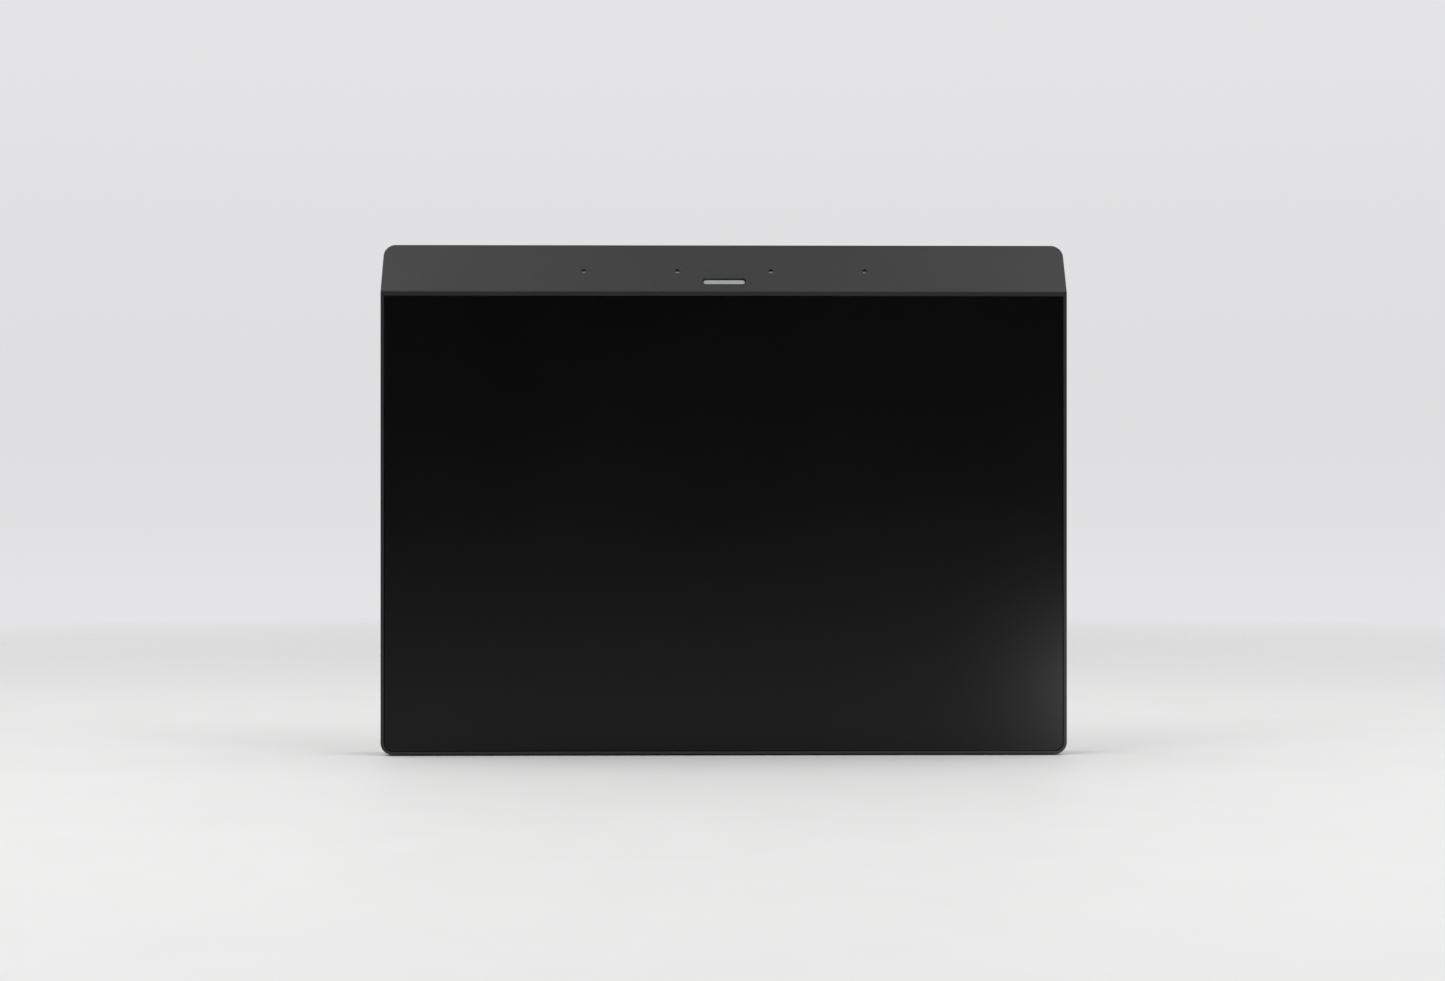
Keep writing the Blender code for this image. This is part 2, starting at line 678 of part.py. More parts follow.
def speakers():
    paper = material("speaker_cone", (0.05, 0.05, 0.055), 0.7)
    grille_metal = material("grille_metal", (0.06, 0.06, 0.062), 0.45, 0.6)
    for side, name in ((-1, "left"), (1, "right")):
        x, z = side * SPEAKER_X, SPEAKER_Z
        half_x, half_z = SPEAKER_SIZE[0] / 2, SPEAKER_SIZE[1] / 2
        box = add_box(
            f"speaker_box_{name}",
            (x - half_x, x + half_x),
            (7.3 * MM, 14.8 * MM),
            (z - half_z, z + half_z),
            black_plastic(),
            3 * MM,
        )
        well = cylinder(15.6 * MM, 4 * MM, sides=28)
        cut(box, "driver_well", well, (x, y_of(13.4 * MM), z))
        cone = (
            (0, 1.0),
            (3.2, 0.9),
            (4.0, 0.3),
            (10.5, 1.9),
            (11.4, 2.5),
            (12.8, 2.5),
            (13.4, 2.0),
            (15.0, 2.0),
            (15.0, 1.2),
            (11.5, 1.0),
            (5.0, -0.6),
            (0, -0.6),
        )
        profile = [(radius * MM, height * MM) for radius, height in cone]
        turned(f"speaker_driver_{name}", profile, paper, (x, y_of(12.4 * MM), z), sides=28)
        grille(name, x, z, grille_metal)


def grille(name, x, z, finish):
    half_x, half_z = GRILLE_SIZE[0] / 2, GRILLE_SIZE[1] / 2
    depths = (GRILLE_REBATE_DEPTH + GAP, THICKNESS - 0.1 * MM)
    plate = add_box(
        f"speaker_grille_{name}", (x - half_x, x + half_x), depths, (z - half_z, z + half_z), finish, 4 * MM
    )
    for row in range(5):
        slot_z = z + (row - 2) * 5.2 * MM
        cut_box(
            plate,
            f"slot_{row + 1}",
            (x - 20 * MM, x + 20 * MM),
            (14 * MM, 18 * MM),
            (slot_z - MM, slot_z + MM),
            0.95 * MM,
            segments=3,
        )


def cables():
    orange = material("flex_cable", (0.45, 0.17, 0.03), 0.4)
    low = DISPLAY_CENTRE - 71.5 * MM
    display_path = (
        (2.35 * MM, low - 0.3 * MM),
        (2.35 * MM, low - 1.6 * MM),
        (2.8 * MM, low - 2.0 * MM),
        (8.2 * MM, low - 2.0 * MM),
        (8.8 * MM, low - 1.4 * MM),
        (8.8 * MM, 30 * MM),
    )
    ribbon("display_flex", (-18 * MM, 18 * MM), display_path, 0.2 * MM, orange)
    sensor_path = (
        (9.6 * MM, 166.0 * MM),
        (8.9 * MM, 160 * MM),
        (8.9 * MM, 96 * MM),
        (8.9 * MM, 82 * MM),
    )
    ribbon("sensor_flex", (34 * MM, 40.5 * MM), sensor_path, 0.2 * MM, orange)
    red = material("speaker_lead", (0.35, 0.02, 0.02), 0.45)
    for side, name, end in ((-1, "left", -46 * MM), (1, "right", 54 * MM)):
        start = (side * 62 * MM, y_of(9 * MM), 116.6 * MM)
        route = (
            start,
            (side * 62 * MM, y_of(9 * MM), 112 * MM),
            (side * 58 * MM, y_of(9 * MM), 106 * MM),
            (end + side * 2 * MM, y_of(9 * MM), 99 * MM),
            (end, y_of(9 * MM), 92 * MM),
            (end, y_of(9 * MM), 87 * MM),
        )
        wire(f"speaker_lead_{name}", route, 0.5 * MM, red)


# ---------------------------------------------------------------- buttons


def buttons():
    add_box(
        "button_board",
        (BUTTON_X - 6 * MM, BUTTON_X + 8 * MM),
        (11.0 * MM, 11.8 * MM),
        (113.5 * MM, 164 * MM),
        circuit_board(),
        MM,
    )
    face, flange = THICKNESS - 0.1 * MM, (14.25 * MM, 14.9 * MM)
    stem_depths = (flange[1] - 0.2 * MM, face)
    for name, z, half_x, half_z in (
        ("power", POWER_Z, 3.0 * MM, 3.0 * MM),
        ("volume_up", VOLUME_UP_Z, 2.5 * MM, 5.0 * MM),
        ("volume_down", VOLUME_DOWN_Z, 2.5 * MM, 5.0 * MM),
    ):
        body = (12.0 * MM, 13.2 * MM)
        square = 2.6 * MM
        switch_x, switch_z = (BUTTON_X - square, BUTTON_X + square), (z - square, z + square)
        switch = add_box(f"{name}_switch", switch_x, body, switch_z, steel(), 0.4 * MM)
        join(switch, "plunger", cylinder(1.2 * MM, MM, sides=12), (BUTTON_X, y_of(13.0 * MM), z))

        size, centre = span(
            (BUTTON_X - half_x, BUTTON_X + half_x), stem_depths, (z - half_z, z + half_z)
        )
        cap = add(
            f"{name}_button",
            rounded_box(size, half_x * 0.98, segments=8, back_bevel=0.25 * MM, back_segments=2),
            slate(),
            centre,
        )
        collar = 0.9 * MM
        join_box(
            cap,
            "collar",
            (BUTTON_X - half_x - collar, BUTTON_X + half_x + collar),
            flange,
            (z - half_z - collar, z + half_z + collar),
            half_x,
        )

    add_box(
        "mute_switch_body",
        (BUTTON_X - 4.5 * MM, BUTTON_X + 4.5 * MM),
        (12.0 * MM, 13.4 * MM),
        (MUTE_Z - 2.2 * MM, MUTE_Z + 2.2 * MM),
        steel(),
        0.4 * MM,
    )
    knob_x = (BUTTON_X - 3.9 * MM, BUTTON_X + 0.9 * MM)
    red = material("mute_orange", (0.55, 0.1, 0.03), 0.5)
    size, centre = span(knob_x, (14.6 * MM, THICKNESS - 0.5 * MM), (MUTE_Z - 1.2 * MM, MUTE_Z + 1.2 * MM))
    knob = add("mute_slider", rounded_box(size, MM, segments=4), red, centre)
    collar_x = (knob_x[0] - 1.2 * MM, knob_x[1] + 1.2 * MM)
    join_box(knob, "collar", collar_x, flange, (MUTE_Z - 2.6 * MM, MUTE_Z + 2.6 * MM))
    join_box(
        knob,
        "fork",
        (BUTTON_X - 2.2 * MM, BUTTON_X - 0.8 * MM),
        (13.7 * MM, 14.5 * MM),
        (MUTE_Z - 0.7 * MM, MUTE_Z + 0.7 * MM),
    )


# ---------------------------------------------------------------- stand


def stand():
    """The fold-out stand: a plate with a barrel along its top edge, pinned at two brackets."""
    axis = Vector((0, y_of(HINGE_DEPTH), HINGE_HEIGHT))
    plate_z = (STAND_BOTTOM, HINGE_HEIGHT)
    size, centre = span((-STAND_HALF_WIDTH, STAND_HALF_WIDTH), STAND_DEPTHS, plate_z)
    plate = rounded_box(size, 1.8 * MM, segments=4, low_only=True)
    bmesh.ops.translate(plate, vec=Vector(centre) - axis, verts=plate.verts)
    finish = material("slate_aluminium", (0.05, 0.051, 0.053), 0.5, 0.4)
    flap = add("kickstand", plate, finish, axis)
    join(flap, "barrel", cylinder(BARREL_RADIUS, 2 * STAND_HALF_WIDTH, along=0, sides=24), axis)
    for side in (-1, 1):
        x = side * KNUCKLE_X
        half = KNUCKLE_WIDTH / 2 + GAP
        reach = BARREL_RADIUS + 0.5 * MM
        cut_box(
            flap,
            f"knuckle_gap_{side}",
            (x - half, x + half),
            (HINGE_DEPTH - reach, HINGE_DEPTH + reach),
            (HINGE_HEIGHT - reach, HINGE_HEIGHT + reach),
        )
        bore = cylinder(PIN_BORE_RADIUS, PIN_LENGTH + 2 * GAP, along=0, sides=20)
        cut(flap, f"pin_bore_{side}", bore, (x, axis.y, axis.z))
    tip_x, tip_z = 80 * MM, (STAND_BOTTOM, STAND_BOTTOM + 2.5 * MM)
    cut_box(
        flap,
        "tip_seat",
        (-tip_x - GAP, tip_x + GAP),
        (14 * MM, 18 * MM),
        (STAND_BOTTOM - MM, tip_z[1] + GAP),
    )
    tip_depths = (15.1 * MM, 16.9 * MM)
    add_box("kickstand_foot", (-tip_x, tip_x), tip_depths, tip_z, rubber(), 0.6 * MM, along=0)
    for side, name in ((-1, "left"), (1, "right")):
        hinge(side, name)


def hinge(side, name):
    x = side * KNUCKLE_X
    y, z = y_of(HINGE_DEPTH), HINGE_HEIGHT
    knuckle = cylinder(KNUCKLE_RADIUS, KNUCKLE_WIDTH, along=0, sides=20)
    bracket = add(f"hinge_bracket_{name}", knuckle, steel(), (x, y, z))
    leaf_depths = LEAF_DEPTHS
    leaf_top = HINGE_HEIGHT - BARREL_RADIUS - 0.7 * MM
    join_box(
        bracket,
        "leaf",
        (x - 8 * MM, x + 8 * MM),
        leaf_depths,
        (leaf_top - 15.5 * MM, leaf_top),
        1.5 * MM,
    )
    neck_x = (x - KNUCKLE_WIDTH / 2 + 0.1 * MM, x + KNUCKLE_WIDTH / 2 - 0.1 * MM)
    join_box(bracket, "neck", neck_x, leaf_depths, (leaf_top - MM, z - 0.6 * MM))
    bore = cylinder(PIN_BORE_RADIUS, KNUCKLE_WIDTH + 4 * MM, along=0, sides=20)
    cut(bracket, "pin_bore", bore, (x, y, z))
    for number, (screw_x, screw_z) in enumerate(HINGE_SCREWS):
        if screw_x * side > 0:
            hole = cylinder(SCREW_HOLE_RADIUS, 6 * MM, sides=12)
            cut(bracket, f"hole_{number + 1}", hole, (screw_x, y_of(leaf_depths[0]), screw_z))
    pin = cylinder(PIN_RADIUS, PIN_LENGTH, along=0, sides=20)
    add(f"hinge_pin_{name}", pin, steel(), (x, y, z))


def screws():
    """Cover screws sink flush into the pocket floor; hinge screws clamp the brackets' leaves."""
    dark_steel = material("dark_steel", (0.12, 0.12, 0.125), 0.35, 1.0)
    shank, length = 0.9 * MM, 4.2 * MM
    for number, (x, z) in enumerate(COVER_SCREWS):
        head, thick = 1.9 * MM, 0.7 * MM
        profile = ((0, thick), (head, thick), (head, 0), (shank, 0), (shank, -length), (0, -length))
        at = (x, y_of(POCKET_DEPTH - 0.6 * MM), z)
        turned(f"cover_screw_{number + 1}", profile, dark_steel, at)
    for number, (x, z) in enumerate(HINGE_SCREWS):
        head, thick = 1.9 * MM, 0.2 * MM
        profile = (
            (0, thick),
            (head * 0.9, thick),
            (head, 0),
            (shank, 0),
            (shank, -length - MM),
            (0, -length - MM),
        )
        at = (x, y_of(LEAF_DEPTHS[1] + 0.1 * MM), z)
        turned(f"hinge_screw_{number + 1}", profile, dark_steel, at)


def main():
    clear_scene()
    brow = brow_frame()
    front_housing(brow)
    display_stack()
    mid_frame()
    rear_cover()
    feet()
    brow_parts(brow)
    main_electronics()
    speakers()
    cables()
    buttons()
    stand()
    screws()


main()
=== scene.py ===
"""Looks of an upright smart display: shells, etched glass, stand, controls and a pale studio."""

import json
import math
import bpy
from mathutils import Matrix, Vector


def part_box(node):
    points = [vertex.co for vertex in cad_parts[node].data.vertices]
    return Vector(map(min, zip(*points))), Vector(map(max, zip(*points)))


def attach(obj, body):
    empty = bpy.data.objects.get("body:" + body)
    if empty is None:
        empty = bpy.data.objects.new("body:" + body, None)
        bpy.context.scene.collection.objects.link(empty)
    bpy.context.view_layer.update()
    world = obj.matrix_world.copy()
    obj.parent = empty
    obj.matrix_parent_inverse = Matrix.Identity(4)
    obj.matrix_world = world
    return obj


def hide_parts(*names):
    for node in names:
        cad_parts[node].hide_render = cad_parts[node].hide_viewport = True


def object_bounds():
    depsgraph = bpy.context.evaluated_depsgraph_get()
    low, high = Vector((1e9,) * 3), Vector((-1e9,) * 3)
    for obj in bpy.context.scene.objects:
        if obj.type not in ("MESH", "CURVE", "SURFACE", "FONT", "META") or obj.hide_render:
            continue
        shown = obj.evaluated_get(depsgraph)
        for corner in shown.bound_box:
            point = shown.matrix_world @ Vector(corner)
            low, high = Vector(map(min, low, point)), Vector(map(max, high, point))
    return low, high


bl_info = {
    "name": "Smart display looks",
    "version": (1, 0, 0),
    "blender": (4, 5, 0),
    "location": "3D View > Sidebar > Display",
    "description": "Finishes a smart display around its packed mechanical model",
    "category": "Object",
}

import bmesh
import bpy
from bpy.props import FloatProperty, FloatVectorProperty, IntProperty, PointerProperty
from bpy.types import Operator, Panel, PropertyGroup
from mathutils import Matrix, Vector

MM = 0.001
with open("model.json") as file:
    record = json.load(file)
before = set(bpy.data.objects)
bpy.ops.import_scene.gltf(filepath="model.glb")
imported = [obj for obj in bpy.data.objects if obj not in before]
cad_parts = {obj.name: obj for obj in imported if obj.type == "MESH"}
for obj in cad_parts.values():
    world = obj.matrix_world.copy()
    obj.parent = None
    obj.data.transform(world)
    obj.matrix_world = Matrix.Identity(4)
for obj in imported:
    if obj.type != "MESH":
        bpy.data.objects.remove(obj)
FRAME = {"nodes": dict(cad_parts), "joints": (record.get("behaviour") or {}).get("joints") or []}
CAD_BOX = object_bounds()
NODES = FRAME["nodes"]
JOINTS = {joint["name"]: joint for joint in FRAME["joints"]}
CHASSIS = "chassis"
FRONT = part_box("front_housing")
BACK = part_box("rear_cover")
FRONT_Y = FRONT[0].y
BACK_Y = BACK[1].y
TOP_Z = FRONT[1].z
SIDES = (("left", -1), ("right", 1))
ONE_TO_FOUR = range(1, 5)
WELD = 0.002 * MM
HAIR = 0.01 * MM


def brow_axes():
    """The brow's own frame: its origin on the fold, Z up its face and Y inwards from it."""
    points = [v.co for v in NODES["front_housing"].data.vertices]
    fold = max(p.z for p in points if abs(p.y - FRONT_Y) < HAIR)
    setback = min(p.y for p in points if abs(p.z - TOP_Z) < HAIR) - FRONT_Y
    tilt = math.atan2(setback, TOP_Z - fold)
    return Matrix.Translation((0, FRONT_Y, fold)) @ Matrix.Rotation(-tilt, 4, "X")


BROW = brow_axes()
FOLD_Z = BROW.translation.z


# ---- settings


def length_setting(**words):
    """A length, shown finely enough for hundredths of a millimetre."""
    return FloatProperty(unit="LENGTH", precision=5, **words)


def colour_setting(**words):
    return FloatVectorProperty(subtype="COLOR", min=0, max=1, **words)


class ShellSettings(PropertyGroup):
    colour: colour_setting(
        name="Plastic colour",
        description="Colour of the moulded shells",
        default=(0.0345, 0.035, 0.0364),
    )
    roughness: FloatProperty(
        name="Plastic roughness",
        description="Mean roughness of the moulded shells",
        default=0.45,
        min=0,
        max=1,
    )
    corner_radius: length_setting(
        name="Corner radius",
        description="Radius of the slab's four corners seen from the front",
        default=4.2 * MM,
    )
    edge_width: length_setting(
        name="Edge softness",
        description="Width of the small rounding along the shells' outer edges",
        default=0.35 * MM,
    )
    microphone_dish: length_setting(
        name="Microphone dish",
        description="Width of the small dish sunk round each microphone hole",
        default=0.15 * MM,
    )
    hole_edge_width: length_setting(
        name="Hole edge softness",
        description="Width of the small rounding along openings in the shells",
        default=0.08 * MM,
    )


class GlassSettings(PropertyGroup):
    colour: colour_setting(
        name="Glass colour",
        description="Colour under the black cover glass",
        default=(0.0018, 0.0018, 0.0017),
    )
    roughness: FloatProperty(
        name="Etch roughness",
        description="Roughness of the etched face that softens reflections",
        default=0.3,
        min=0,
        max=1,
    )
    chamfer: length_setting(
        name="Ground edge",
        description="Width of the ground edge round the glass",
        default=0.07 * MM,
    )
    mesh_radius: length_setting(
        name="Microphone mesh radius",
        description="Radius of each pale dust mesh, a hair under its hole's",
        default=0.82 * MM,
    )
    mesh_depth: length_setting(
        name="Microphone mesh depth",
        description="How deep each pale dust mesh sits in its hole",
        default=0.85 * MM,
    )
    lens_sink: length_setting(
        name="Light lens sink",
        description="How far the status light's face is set deeper in its slot",
        default=0.3 * MM,
    )
    lens_colour: colour_setting(
        name="Light lens colour",
        description="Colour of the unlit status light",
        default=(0.46, 0.47, 0.48),
    )


class BackSettings(PropertyGroup):
    hole_radius: length_setting(
        name="Grille hole radius",
        description="Radius of each hole in the speaker grilles",
        default=0.7 * MM,
    )
    hole_pitch: length_setting(
        name="Grille hole pitch",
        description="Distance between neighbouring holes in the speaker grilles",
        default=2.2 * MM,
    )
    symbol_colour: colour_setting(
        name="Symbol colour",
        description="Colour of the printed symbols beside the buttons",
        default=(0.4, 0.4, 0.41),
    )


class StandSettings(PropertyGroup):
    colour: colour_setting(
        name="Stand colour",
        description="Colour of the anodised stand",
        default=(0.06, 0.061, 0.064),
    )
    edge_width: length_setting(
        name="Stand edge softness",
        description="Width of the rounding along the stand's edges",
        default=0.25 * MM,
    )
    tread_count: IntProperty(
        name="Foot treads",
        description="Number of grooves in each rubber foot",
        default=3,
        min=1,
        max=8,
    )


class StageSettings(PropertyGroup):
    floor_colour: colour_setting(
        name="Floor colour",
        description="Colour of the pale floor",
        default=(0.79, 0.79, 0.785),
    )
    backdrop_colour: colour_setting(
        name="Backdrop colour",
        description="Colour seen behind everything, at its lightest",
        default=(0.82, 0.815, 0.83),
    )
    key_power: FloatProperty(
        name="Key light power",
        description="Power of each of the two soft lights overhead",
        default=12.2,
        min=0,
        unit="POWER",
    )
    card_power: FloatProperty(
        name="Low card power",
        description="Power of the weak card at the front right",
        default=0.052,
        min=0,
        unit="POWER",
    )
    camera_distance: length_setting(
        name="Camera distance",
        description="Distance from the camera to the middle of the slab",
        default=0.926,
    )
    camera_height: length_setting(
        name="Camera height",
        description="Height of the camera above the floor",
        default=95.7 * MM,
    )
    camera_side: length_setting(
        name="Camera side step",
        description="How far the camera stands to the right of the middle",
        default=-14.5 * MM,
    )
    camera_yaw: FloatProperty(
        name="Camera yaw",
        description="Turn of the camera about the vertical",
        default=math.radians(-0.863),
        subtype="ANGLE",
    )
    focal_length: FloatProperty(
        name="Focal length",
        description="Focal length of the lens in millimetres",
        default=63.3,
        min=1,
        unit="CAMERA",
    )


# ---- shapes


def rounded_outline(low, high, radius, steps=10):
    """Points of a rounded rectangle between two (across, up) corners, anticlockwise."""
    centres = (
        (high[0] - radius, high[1] - radius, 0),
        (low[0] + radius, high[1] - radius, 90),
        (low[0] + radius, low[1] + radius, 180),
        (high[0] - radius, low[1] + radius, 270),
    )
    points = []
    for across, up, start in centres:
        for step in range(steps + 1):
            angle = math.radians(start + 90 * step / steps)
            points.append((across + radius * math.cos(angle), up + radius * math.sin(angle)))
    return points


def circle_outline(across, up, radius, sides):
    turns = [2 * math.pi * n / sides for n in range(sides)]
    return [(across + radius * math.cos(t), up + radius * math.sin(t)) for t in turns]


def arc_outline(across, up, inner, outer, start, end, steps=14):
    """A bent band between two radii and two angles in degrees."""
    angles = [math.radians(start + (end - start) * n / steps) for n in range(steps + 1)]
    outside = [(across + outer * math.cos(a), up + outer * math.sin(a)) for a in angles]
    inside = [(across + inner * math.cos(a), up + inner * math.sin(a)) for a in angles]
    return outside + inside[::-1]


def turned_outline(points, across, up, angle):
    """Points turned about their middle by an angle in degrees, and moved to their place."""
    turn = math.radians(angle)
    return [
        (
            across + x * math.cos(turn) - y * math.sin(turn),
            up + x * math.sin(turn) + y * math.cos(turn),
        )
        for x, y in points
    ]


def bar_outline(across, up, length, width, angle=0.0):
    """A straight bar about its middle."""
    corners = ((-1, -1), (1, -1), (1, 1), (-1, 1))
    points = [(u * length / 2, v * width / 2) for u, v in corners]
    return turned_outline(points, across, up, angle)


def cross_outline(across, up, reach, half_width, angle):
    """A cross of two equal bars about its middle."""
    arm = ((reach, -half_width), (reach, half_width), (half_width, half_width))
    points = []
    for quarter in range(4):
        points += turned_outline(arm, across, up, angle + 90 * quarter)
    return points


def along_y(across, up, depth):
    return Vector((across, depth, up))


def along_x(across, up, depth):
    return Vector((depth, across, up))


def prism(bm, outline, start, end, axis=along_y):
    """Adds a closed prism to bm: an outline carried from start to end along an axis."""
    rings = []
    for depth in (start, end):
        rings.append([bm.verts.new(axis(across, up, depth)) for across, up in outline])
    first, last = rings
    count = len(first)
    faces = [bm.faces.new(first), bm.faces.new(last[::-1])]
    for n in range(count):
        after = (n + 1) % count
        faces.append(bm.faces.new((first[after], first[n], last[n], last[after])))
    bmesh.ops.recalc_face_normals(bm, faces=faces)
    return bm


def turned(bm, profile, place, steps=32):
    """Adds a capped lathe shape: (radius, height) from its head down, about place's Z."""
    rings = []
    for radius, height in profile:
        points = circle_outline(0, 0, radius, steps)
        rings.append([bm.verts.new(place @ Vector((*point, height))) for point in points])
    faces = [bm.faces.new(rings[0]), bm.faces.new(rings[-1][::-1])]
    for upper, lower in zip(rings, rings[1:]):
        for n in range(steps):
            after = (n + 1) % steps
            faces.append(bm.faces.new((upper[after], upper[n], lower[n], lower[after])))
    bmesh.ops.recalc_face_normals(bm, faces=faces)
    return bm


def mesh_of(name, bm):
    mesh = bpy.data.meshes.new(name)
    bm.to_mesh(mesh)
    bm.free()
    return mesh


def carved(base, other, operation="DIFFERENCE"):
    """base with another closed shape cut from it or joined to it; both bmeshes are used up."""
    scene = bpy.context.scene.collection
    pair = []
    for label, bm in (("base", base), ("other", other)):
        obj = bpy.data.objects.new(label, mesh_of(label, bm))
        scene.objects.link(obj)
        pair.append(obj)
    body, cutter = pair
    modifier = body.modifiers.new("carve", "BOOLEAN")
    modifier.object = cutter
    modifier.operation = operation
    bpy.context.view_layer.update()
    mesh = body.evaluated_get(bpy.context.evaluated_depsgraph_get()).to_mesh()
    result = bmesh.new()
    result.from_mesh(mesh)
    for obj in pair:
        bpy.data.objects.remove(obj)
    bmesh.ops.remove_doubles(result, verts=result.verts, dist=WELD)
    return result


def solid_of(node):
    """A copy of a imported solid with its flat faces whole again, ready for finer work."""
    bm = bmesh.new()
    bm.from_mesh(NODES[node].data)
    bmesh.ops.remove_doubles(bm, verts=bm.verts, dist=WELD)
    flat = math.radians(0.6)
    bmesh.ops.dissolve_limit(bm, angle_limit=flat, verts=bm.verts, edges=bm.edges)
    return bm


def soften(bm, width, wanted, segments=3, least_angle=30):
    """Rounds the sharp edges that wanted picks by their middle point."""
    least = math.radians(least_angle)
    edges = []
    for edge in bm.edges:
        middle = (edge.verts[0].co + edge.verts[1].co) / 2
        if edge.calc_face_angle(0) > least and wanted(middle):
            edges.append(edge)
    bmesh.ops.bevel(
        bm,
        geom=edges,
        offset=width,
        segments=segments,
        profile=0.6,
        affect="EDGES",
        clamp_overlap=False,
    )
    return bm


def piece(name, bm, finish, body=CHASSIS, nodes=()):
    """A finished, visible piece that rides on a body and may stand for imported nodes."""
    mesh = mesh_of(name, bm)
    mesh.shade_smooth()
    mesh.set_sharp_from_angle(angle=math.radians(32))
    mesh.materials.append(finish)
    obj = bpy.data.objects.new(name, mesh)
    bpy.context.scene.collection.objects.link(obj)
    weighted = obj.modifiers.new("even shading", "WEIGHTED_NORMAL")
    weighted.keep_sharp = True
    weighted.weight = 80
    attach(obj, body)
    if nodes:
        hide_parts(*nodes)
    return obj


def outline_distance(point, low, high, radius):
    """How far a point's (x, z) lies outside a rounded rectangle; negative inside."""
    across = abs(point.x - (low.x + high.x) / 2) - ((high.x - low.x) / 2 - radius)
    up = abs(point.z - (low.z + high.z) / 2) - ((high.z - low.z) / 2 - radius)
    outside = math.hypot(max(across, 0), max(up, 0))
    return outside + min(max(across, up), 0) - radius


def middle_of(node):
    low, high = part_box(node)
    return (low + high) / 2


# ---- finishes


def ranged_value(tree, value, start, end, low, high):
    """Maps a value between start and end to one between low and high."""
    node = tree.nodes.new("ShaderNodeMapRange")
    node.inputs["From Min"].default_value = start
    node.inputs["From Max"].default_value = end
    node.inputs["To Min"].default_value = low
    node.inputs["To Max"].default_value = high
    tree.links.new(value, node.inputs["Value"])
    return node.outputs["Result"]


class Finish:
    """A Principled material and the few nodes that give it its fine detail."""

    def __init__(self, name, colour, roughness, metallic=0.0, specular=0.5):
        self.material = bpy.data.materials.new(name)
        self.material.use_nodes = True
        self.tree = self.material.node_tree
        self.shader = self.tree.nodes["Principled BSDF"]
        self.colour = tuple(colour)
        self.set("Base Color", (*self.colour, 1))
        self.set("Roughness", roughness)
        self.set("Metallic", metallic)
        self.set("Specular IOR Level", specular)
        self.roughness = roughness
        self.coords = self.tree.nodes.new("ShaderNodeTexCoord").outputs["Object"]
        self.normal = None

    def set(self, socket, value):
        self.shader.inputs[socket].default_value = value

    def link(self, source, target):
        self.tree.links.new(source, target)

    def stretched(self, scale):
        mapping = self.tree.nodes.new("ShaderNodeMapping")
        mapping.inputs["Scale"].default_value = scale
        self.link(self.coords, mapping.inputs["Vector"])
        return mapping.outputs["Vector"]

    def noise(self, grains_per_metre, detail=2.0, stretch=None):
        node = self.tree.nodes.new("ShaderNodeTexNoise")
        node.inputs["Scale"].default_value = grains_per_metre
        node.inputs["Detail"].default_value = detail
        where = self.stretched(stretch) if stretch else self.coords
        self.link(where, node.inputs["Vector"])
        return node.outputs["Fac"]

    def ranged(self, value, low, high):
        """Stretches a noise value, which keeps near 0.5, over the range from low to high."""
        return ranged_value(self.tree, value, 0.3, 0.7, low, high)

    def times(self, one, other):
        node = self.tree.nodes.new("ShaderNodeMath")
        node.operation = "MULTIPLY"
        self.link(one, node.inputs[0])
        self.link(other, node.inputs[1])
        return node.outputs["Value"]

    def blend(self, factor, first, second):
        """Puts a mix of two colours, steered by factor, on the base colour."""
        node = self.tree.nodes.new("ShaderNodeMix")
        node.data_type = "RGBA"
        node.inputs["A"].default_value = (*first, 1)
        node.inputs["B"].default_value = (*second, 1)
        self.link(factor, node.inputs["Factor"])
        self.link(node.outputs["Result"], self.shader.inputs["Base Color"])

    def vary_colour(self, value, amount):
        darker = [c * (1 - amount) for c in self.colour]
        lighter = [min(c * (1 + amount), 1) for c in self.colour]
        self.blend(self.ranged(value, 0, 1), darker, lighter)

    def vary_roughness(self, value, amount):
        low, high = self.roughness * (1 - amount), min(self.roughness * (1 + amount), 1)
        self.link(self.ranged(value, low, high), self.shader.inputs["Roughness"])

    def bump(self, height, depth, strength=1.0):
        node = self.tree.nodes.new("ShaderNodeBump")
        node.inputs["Distance"].default_value = depth
        node.inputs["Strength"].default_value = strength
        self.link(height, node.inputs["Height"])
        if self.normal:
            self.link(self.normal, node.inputs["Normal"])
        self.normal = node.outputs["Normal"]
        self.link(self.normal, self.shader.inputs["Normal"])


def once(make):
    """Keeps the first material that a finish function makes, so pieces share it."""
    made = {}

    def kept(*args):
        if args not in made:
            made[args] = make(*args).material
        return made[args]

    return kept


@once
def moulded_plastic():
    """Slate plastic with a fine spark-eroded grain and faint handling marks."""
    shell = bpy.context.scene.display_shell
    finish = Finish("moulded slate plastic", shell.colour, shell.roughness, 0.0, 0.3)
    finish.vary_colour(finish.noise(1400, 3), 0.09)
    finish.vary_roughness(finish.noise(38, 2), 0.09)
    finish.bump(finish.noise(3800, 2), 0.03 * MM, 0.5)
    return finish


@once
def etched_glass():
    """Black-backed cover glass whose face is etched against glare."""
    glass = bpy.context.scene.display_glass
    finish = Finish("etched black glass", glass.colour, glass.roughness, 0.0, 0.3)
    finish.vary_roughness(finish.noise(16, 3), 0.06)
    finish.bump(finish.noise(9000, 1), 0.004 * MM, 0.12)
    return finish


@once
def opal_lens():
    glass = bpy.context.scene.display_glass
    finish = Finish("opal light lens", glass.lens_colour, 0.38)
    finish.set("Subsurface Weight", 0.25)
    finish.set("Subsurface Scale", 0.6 * MM)
    finish.vary_colour(finish.noise(900, 2), 0.03)
    return finish


